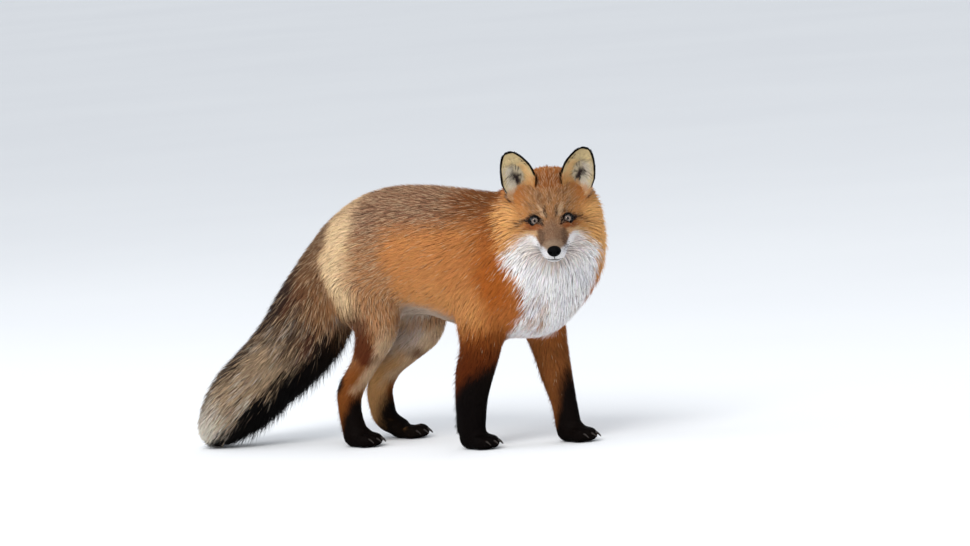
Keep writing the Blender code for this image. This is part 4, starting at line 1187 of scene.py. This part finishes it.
def wet_leather(name, code, grain_mm, rough, coat):
    """Hairless skin of nose and lids: near black, pebbled, with a thin wet film."""
    material, tree, shader = finish_of(name, rough, 0.02, **{"Coat Weight": coat, "Coat Roughness": 0.3})
    place = add(tree, "TexCoord").outputs["Object"]
    pebble = add(tree, "TexVoronoi", links={"Vector": place, "Scale": 1 / (grain_mm * MM)})
    cloud = add(tree, "TexNoise", links={"Vector": place, "Scale": 1 / (4.0 * MM)})
    grained(tree, shader, tuple(linear(code)), cloud.outputs["Fac"], (0.0, 1.0, 0.7, 1.5),
            pebble.outputs["Distance"], 0.5, 0.25 * grain_mm * MM)
    return material


def iris_finish():
    """A fox's iris: amber grey with dark radial folds, a dark rim and an upright pupil, on a dark ball."""
    material, tree, shader = finish_of("fox_iris", 0.45, 0.05)
    place = add(tree, "Attribute", {"attribute_name": "gaze"}).outputs["Vector"]
    parts = add(tree, "SeparateXYZ", links={0: place})
    radius = add(tree, "VectorMath", {"operation": "LENGTH"}, {0: place}).outputs["Value"]
    turn = add(tree, "Math", {"operation": "ARCTAN2"}, {0: parts.outputs[1], 1: parts.outputs[0]})
    folds = add(tree, "CombineXYZ", links={0: turn.outputs[0], 1: radius})
    stretch = add(tree, "Mapping", links={"Vector": folds.outputs[0], "Scale": (7.0, 0.35, 1.0)})
    grain = add(tree, "TexNoise", links={"Vector": stretch.outputs[0], "Scale": 1.0, "Detail": 4.0})
    ramp = add(tree, "ValToRGB", links={"Fac": grain.outputs["Fac"]},
               stops=((0.32, "#574438"), (0.66, "#97867B")))
    rim = add(tree, "MapRange", {"interpolation_type": "SMOOTHSTEP"}, {
        "Value": radius, "From Min": 4.5, "From Max": 5.5})
    slit = add(tree, "Mapping", links={"Vector": place, "Scale": (1 / 2.0, 1 / 2.5, 0.0)})
    inside = add(tree, "VectorMath", {"operation": "LENGTH"}, {0: slit.outputs[0]})
    pupil = add(tree, "MapRange", {"interpolation_type": "SMOOTHSTEP"}, {
        "Value": inside.outputs["Value"], "From Min": 1.12, "From Max": 0.92})
    dark = add(tree, "Math", {"operation": "MAXIMUM"}, {0: rim.outputs[0], 1: pupil.outputs[0]})
    mixed = add(tree, "Mix", {"data_type": "RGBA"}, {
        0: dark.outputs[0], 6: ramp.outputs["Color"], 7: covered(linear("#080504"))})
    tree.links.new(mixed.outputs[2], shader.inputs["Base Color"])
    return material


def cornea_finish():
    """The clear wet front of an eye: see-through, with the mirror gloss of a watery film."""
    material, tree = blank("wet_cornea")
    clear = add(tree, "BsdfTransparent", links={"Color": (1.0, 1.0, 1.0, 1.0)})
    gloss = add(tree, "BsdfGlossy", links={"Color": (0.8, 0.8, 0.8, 1.0), "Roughness": 0.03})
    edge = add(tree, "Fresnel", links={"IOR": 1.376})
    mixed = add(tree, "MixShader", links={
        0: edge.outputs[0], 1: clear.outputs[0], 2: gloss.outputs[0]})
    add(tree, "OutputMaterial", links={"Surface": mixed.outputs[0]})
    return material


def claw_horn():
    """Claw horn: dark brown keratin, paler in streaks, worn satin by walking, with a grain 0.4 mm wide."""
    material, tree, shader = finish_of("claw_horn", 0.48, 0.3)
    place = add(tree, "TexCoord")
    stretch = add(tree, "Mapping", links={
        "Vector": place.outputs["Object"], "Scale": (1 / (4.0 * MM), 1 / (0.4 * MM), 1 / (0.8 * MM))})
    grain = add(tree, "TexNoise", links={"Vector": stretch.outputs[0], "Scale": 1.0, "Detail": 3.0})
    ramp = add(tree, "ValToRGB", links={"Fac": grain.outputs["Fac"]},
               stops=((0.35, "#110D0B"), (0.75, "#3A2E26")))
    ridges = add(tree, "Bump", links={
        "Strength": 0.3, "Distance": 0.2 * MM, "Height": grain.outputs["Fac"]})
    tree.links.new(ramp.outputs["Color"], shader.inputs["Base Color"])
    tree.links.new(ridges.outputs[0], shader.inputs["Normal"])
    return material


def clouded(name, rough, gloss, scale, codes):
    """A plain finish that drifts between two colours."""
    material, tree, shader = finish_of(name, rough, gloss)
    place = add(tree, "TexCoord")
    cloud = add(tree, "TexNoise", links={"Vector": place.outputs["Object"], "Scale": scale})
    ramp = add(tree, "ValToRGB", links={"Fac": cloud.outputs["Fac"]}, stops=zip((0.0, 1.0), codes))
    tree.links.new(ramp.outputs["Color"], shader.inputs["Base Color"])
    return material


def whisker_hair():
    """A whisker: stiff black hair with a gloss, browner in stretches about 9 mm long."""
    return clouded("whisker_hair", 0.38, 0.5, 1 / (9.0 * MM), ("#0B0808", "#3A2A22"))


def pale_floor():
    """A plain pale studio floor, with a very faint unevenness of tone more than a metre across."""
    return clouded("pale_floor", 0.9, 0.1, 0.8, ("#E9EBEE", "#F0F2F4"))


# ---------------------------------------------------------------- eyes, lids, nose, lips, whiskers
def turned_grid(name, rows, finish, middle):
    """A piece from rows of points, each closed on itself, whose faces look away from a point of the fox."""
    made = piece_of(name, np.concatenate(rows), quads(len(rows), len(rows[0])), finish)
    bm = bmesh.new()
    bm.from_mesh(made.data)
    bmesh.ops.recalc_face_normals(bm, faces=bm.faces)
    middle = Vector(middle) + SHIFT
    away = sum((face.calc_center_median() - middle).dot(face.normal) * face.calc_area() for face in bm.faces)
    if away < 0:
        bmesh.ops.reverse_faces(bm, faces=bm.faces)
    bm.to_mesh(made.data)
    bm.free()
    return made


def eye_pieces(side_name, side, skin_tree, iris, cornea, lid):
    """An eyeball with a sunken iris, its clear cornea and the dark rims of its lids."""
    middle = from_eye_to_fox((0.0, 0.0, 0.0), side)[0]
    angles = 2 * math.pi * np.arange(EYE_POINTS) / EYE_POINTS
    rim_lean = math.asin(IRIS_RADIUS / EYE_RADIUS)
    leans = [rim_lean + (math.pi - rim_lean) * step / 18 for step in range(1, 19)]
    profile = [(0.00001, 0.0066), (0.0012, 0.0066), (0.0024, 0.0067), (0.0038, 0.0069), (0.0052, 0.0071),
               (IRIS_RADIUS, 0.0073)]
    profile += [(max(EYE_RADIUS * math.sin(lean), 0.00001), EYE_RADIUS * math.cos(lean)) for lean in leans]
    lean_end = math.asin(CORNEA_EDGE / CORNEA_RADIUS)
    base = math.sqrt(EYE_RADIUS ** 2 - CORNEA_EDGE ** 2) + 0.0001
    leans = [max(lean_end * (1 - step / 9), 0.001) for step in range(10)]
    dome = [(CORNEA_RADIUS * math.sin(lean), base + CORNEA_RADIUS * (math.cos(lean) - math.cos(lean_end)))
            for lean in leans]
    ball_rings, dome_rings = (
        [np.stack([ahead + 0 * angles, radius * np.cos(angles), radius * np.sin(angles)], 1)
         for radius, ahead in pairs] for pairs in (profile, dome))
    eyeball, front = ([from_eye_to_fox(ring, side) for ring in rings] for rings in (ball_rings, dome_rings))
    ball_piece = turned_grid("eyeball_" + side_name, eyeball, iris, middle)
    gaze = np.concatenate(ball_rings)[:, (1, 2, 0)] / MM
    mark(ball_piece, "gaze", "FLOAT_VECTOR", gaze * np.array((1.0, 1.0, 0.0)))
    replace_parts(ball_piece, "eye_" + side_name)
    turned_grid("cornea_" + side_name, front, cornea, middle)
    # The lids: from their wet edge on the eyeball out over a dark rim to under the face's hair
    around = 2 * math.pi * np.arange(LID_POINTS) / LID_POINTS
    cos, sin = np.cos(around), np.sin(around)
    reach = np.where(cos > 0, LID_OUTER, LID_INNER)
    lids = []
    for grow, lift, onto in ((1.02, -0.0014, 0.0), (1.07, 0.0, 0.0), (1.12, 0.0002, 0.25), (1.18, 0.0, 0.7),
                             (1.27, -0.0008, 1.0), (1.42, -0.0026, 1.0)):
        outward = cos * reach * grow
        up = np.sign(sin) * np.abs(sin) ** 0.92 * LID_HEIGHT * grow - lid_droop(outward)
        on_ball = np.sqrt(np.maximum((EYE_RADIUS + LID_GAP) ** 2 - outward ** 2 - up ** 2, 0.003 ** 2))
        on_skin = []
        for o, u in zip(outward, up):
            start, end = (Vector(point) for point in from_eye_to_fox([(0.05, o, u), (0.0, o, u)], side))
            hit = skin_tree.ray_cast(start, end - start)[0]
            on_skin.append(by_eye(np.array([hit]), side)[0, 0] if hit else 0.004)
        ahead = on_ball * (1 - onto) + np.maximum(on_skin, on_ball * (1 - onto)) * onto + lift
        lids.append(from_eye_to_fox(np.stack([ahead, outward, up], 1), side))
    turned_grid("lids_" + side_name, lids, lid, middle)


def nose_piece(finish):
    """The bare nose pad with its comma-shaped nostrils and the groove under them."""
    lean = (math.pi * np.arange(NOSE_ROWS + 1) / NOSE_ROWS)[:, None]
    angle = (2 * math.pi * np.arange(NOSE_POINTS) / NOSE_POINTS)[None]
    x, y, z = np.cos(lean) + 0 * angle, np.sin(lean) * np.cos(angle), np.sin(lean) * np.sin(angle)
    ahead = 0.0092 * np.sign(x) * np.abs(x) ** 0.85
    across, up = 0.0116 * y * (1.0 - 0.16 * np.maximum(-z, 0.0) * np.abs(y)), 0.0088 * z
    for side in (-1.0, 1.0):
        inner, outer = side * across - 0.0056, side * across - 0.0088
        well = (np.exp(-((inner / 0.0024) ** 2 + ((up + 0.0002 + 0.25 * inner) / 0.0021) ** 2))
                + 0.5 * np.exp(-((outer / 0.003) ** 2 + ((up + 0.0018) / 0.0009) ** 2)))
        ahead = ahead - (x > 0) * 0.0052 * np.minimum(well, 1.0)
    groove = (z < 0.25) * 0.001 * np.exp(-(across / 0.0006) ** 2)
    swell = 0.0008 * np.exp(-((np.abs(across) - 0.003) / 0.002) ** 2) * np.maximum(z, 0.0)
    ahead = ahead + (x > 0) * (swell - groove)
    middle = np.array((NOSE_FORWARD, 0.0, NOSE_LEVEL))
    rows = (np.stack([ahead, across, up], 2) + middle) @ HEAD_TURNED.T + np.array(EYE_POINT)
    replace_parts(turned_grid("nose_pad", rows, finish, in_head(*middle)), "nose")


def thin_tubes(name, lines, finish, sides=6):
    """One mesh of round tubes along lines of (points, radii)."""
    points, faces, first = [], [], 0
    turns = (2 * math.pi * np.arange(sides) / sides)[None, :, None]
    for line, radii in lines:
        line, radii = np.array(line), np.array(radii)[:, None, None]
        along = unit(np.gradient(line, axis=0))
        one = unit(np.cross(along, np.array((0.13, 0.21, 0.97))))
        two = np.cross(along, one)
        rings = line[:, None] + radii * (one[:, None] * np.cos(turns) + two[:, None] * np.sin(turns))
        points.append(rings.reshape(-1, 3))
        faces.append(quads(len(line), sides) + first)
        first += len(line) * sides
    piece_of(name, np.concatenate(points), np.concatenate(faces), finish)


def first_met(tree, start, end):
    """The skin's point first met on the way between two places of the head's axes, or None."""
    start = in_head(*start)
    hit = tree.ray_cast(start, in_head(*end) - start)[0]
    return np.array(hit) if hit else None


def lip_lines(tree):
    """The dark line of the closed mouth, the lower lip's edge and the groove that rises to the nose."""
    upper = [(y, mouth_height(y)) for y in np.linspace(-0.014, 0.014, 41)]
    lower = [(y, mouth_height(y) - 0.0034 + 10.0 * y * y) for y in np.linspace(-0.011, 0.011, 25)]
    groove = [(0.0, z) for z in np.linspace(-0.0436, -0.0362, 9)]
    lines = []
    for places, radius, taper in ((upper, 0.00115, 0.55), (lower, 0.0009, 0.6), (groove, 0.0007, 0.0)):
        met = [first_met(tree, (0.14, y, z), (0.0, y, z)) for y, z in places]
        line = [place for place in met if place is not None]
        lines.append((line, radius * (1 - taper * np.abs(np.linspace(-1, 1, len(line))))))
    return lines


def whisker_lines(tree, rng):
    """Whiskers in rows on the muzzle's sides, and a few over the eyes."""
    lines = []
    for side in (-1.0, 1.0):
        for row, place in itertools.product(range(3), range(3)):
            x = 0.065 - 0.0085 * place + 0.002 * rng.random()
            z = -0.03 - 0.0046 * row - 0.0008 * place + 0.001 * rng.random()
            root = first_met(tree, (x, side * 0.06, z), (x, 0.0, z))
            if root is None:
                continue
            length = (0.036 + 0.012 * place + 0.01 * rng.random()) * (1.0 if row < 2 else 0.8)
            way = unit(np.array((-0.1 - 0.12 * place, side * (0.95 - 0.05 * row),
                                 0.14 - 0.2 * row + 0.1 * rng.random())))
            sag = np.array((-0.3, 0.0, -0.55 - 0.2 * rng.random()))
            t = np.linspace(0, 1, 9)[:, None]
            line = root + (way * length * t + sag * length * 0.62 * t * t) @ HEAD_TURNED.T
            lines.append((line, 0.0003 * (1.0 - 0.75 * t[:, 0])))
        for place in range(3):
            x, y, z = 0.004 - 0.004 * place, side * (0.024 + 0.005 * place), 0.02
            root = first_met(tree, (x + 0.06, y, z + 0.02), (x - 0.02, y, z - 0.006))
            if root is None:
                continue
            way = unit(np.array((0.55, side * (0.35 + 0.2 * place), 0.8)))
            t = np.linspace(0, 1, 7)[:, None]
            line = root + (way * 0.03 * t + np.array((-0.4, 0.0, 0.0)) * 0.016 * t * t) @ HEAD_TURNED.T
            lines.append((line, 0.00022 * (1.0 - 0.8 * t[:, 0])))
    return lines


# ---------------------------------------------------------------- the whole fox
def fox():
    """Every piece of the fox, riding on its solids."""
    data, faces, outline, bare, body_faces = dressed_skin()
    skin = piece_of("skin", data["skin"], faces, underfur())
    mark(skin, "coat", "FLOAT_COLOR", covered(data["colour"] * 0.95))
    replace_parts(skin, *[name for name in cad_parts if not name.startswith(("eye", "nose", "claw"))])

    hair = grown_coat(data, faces, outline, body_faces)
    coat = guard_hair("winter_guard_hair", 0.62)
    for number, name in enumerate([*LOFTS, "ears"]):
        index = np.nonzero(hair["part"] == number)[0]
        stations = (0.3, 0.66) if name in LONG_COATS else (0.42,)
        index = index[np.argsort(hair["along"][index], kind="stable")]
        pieces = max(1, math.ceil(len(index) * 6 * len(stations) / PIECE_LIMIT))
        for piece, some in enumerate(np.array_split(index, pieces)):
            label = "coat_" + name + ("_" + str(piece + 1) if pieces > 1 else "")
            locks = {key: values[some] for key, values in hair.items()}
            coat_piece(label, locks, stations, coat)

    tree = BVHTree.FromPolygons([tuple(point) for point in bare], [tuple(face) for face in body_faces])
    eye_finishes = iris_finish(), cornea_finish(), wet_leather("lid_skin", "#060302", 0.5, 0.9, 0.0)
    for side_name, side in SIDES:
        eye_pieces(side_name, side, tree, *eye_finishes)
    nose_piece(wet_leather("nose_leather", "#040405", 0.9, 0.55, 0.03))
    thin_tubes("lips", lip_lines(tree), wet_leather("lip_skin", "#0D0807", 0.6, 0.6, 0.0))
    whiskers = whisker_lines(tree, np.random.default_rng(SEED + 1))
    thin_tubes("whiskers", whiskers, whisker_hair(), 4)
    horn = claw_horn()
    for name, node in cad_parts.items():
        if name.startswith("claw"):
            node.data.materials.clear()
            node.data.materials.append(horn)
            for polygon in node.data.polygons:
                polygon.use_smooth = True


# ---------------------------------------------------------------- floor, light, camera
VIEW_TURN = math.radians(40.0)  # round from the fox's right side towards its front
VIEW_RISE = math.radians(5.0)
VIEW_LEAN = math.radians(4.5)
VIEW_DISTANCE = 9.16
VIEW_MIDDLE = Vector((0.0554, 0.0721, 0.283))
# Lamps: name, place, size, power, tint
LAMPS = (("soft_box", (1.6, -4.2, 4.6), 3.2, 260.0, (1.0, 0.98, 0.95)),
         ("fill", (-4.0, -2.0, 2.6), 3.0, 60.0, (0.94, 0.97, 1.0)))


def studio():
    """A wide pale floor, soft light from above and the camera."""
    bpy.ops.mesh.primitive_plane_add(size=400.0, location=(0, 0, 0))
    ground = bpy.context.object
    ground.name = "floor"
    ground.data.materials.append(pale_floor())
    world = bpy.data.worlds.new("studio")
    bpy.context.scene.world = world
    world.use_nodes = True
    background = world.node_tree.nodes["Background"]
    background.inputs["Color"].default_value = (0.93, 0.96, 1.0, 1.0)
    background.inputs["Strength"].default_value = 0.85
    for name, place, size, power, tint in LAMPS:
        lamp = bpy.data.lights.new(name, "AREA")
        lamp.size = size
        lamp.energy = power
        lamp.color = tint
        made = link(name, lamp)
        made.location = place
        made.rotation_euler = (Vector((0, 0, 0.2)) - Vector(place)).to_track_quat("-Z", "Y").to_euler()
    away = Vector((math.sin(VIEW_TURN) * math.cos(VIEW_RISE), -math.cos(VIEW_TURN) * math.cos(VIEW_RISE),
                   math.sin(VIEW_RISE)))
    level = Vector((math.cos(VIEW_TURN), math.sin(VIEW_TURN), 0.0))
    above = away.cross(level)
    right = level * math.cos(VIEW_LEAN) - above * math.sin(VIEW_LEAN)
    up = above * math.cos(VIEW_LEAN) + level * math.sin(VIEW_LEAN)
    lens = bpy.data.cameras.new("camera")
    lens.lens = 200.0
    lens.sensor_width = 36.0
    lens.clip_end = 500.0
    camera = link("camera", lens)
    turn = Matrix((right, up, away)).transposed().to_4x4()
    camera.matrix_world = Matrix.Translation(VIEW_MIDDLE + SHIFT + away * VIEW_DISTANCE) @ turn
    bpy.context.scene.camera = camera
    bpy.context.scene.view_settings.view_transform = "Standard"


fox()
studio()
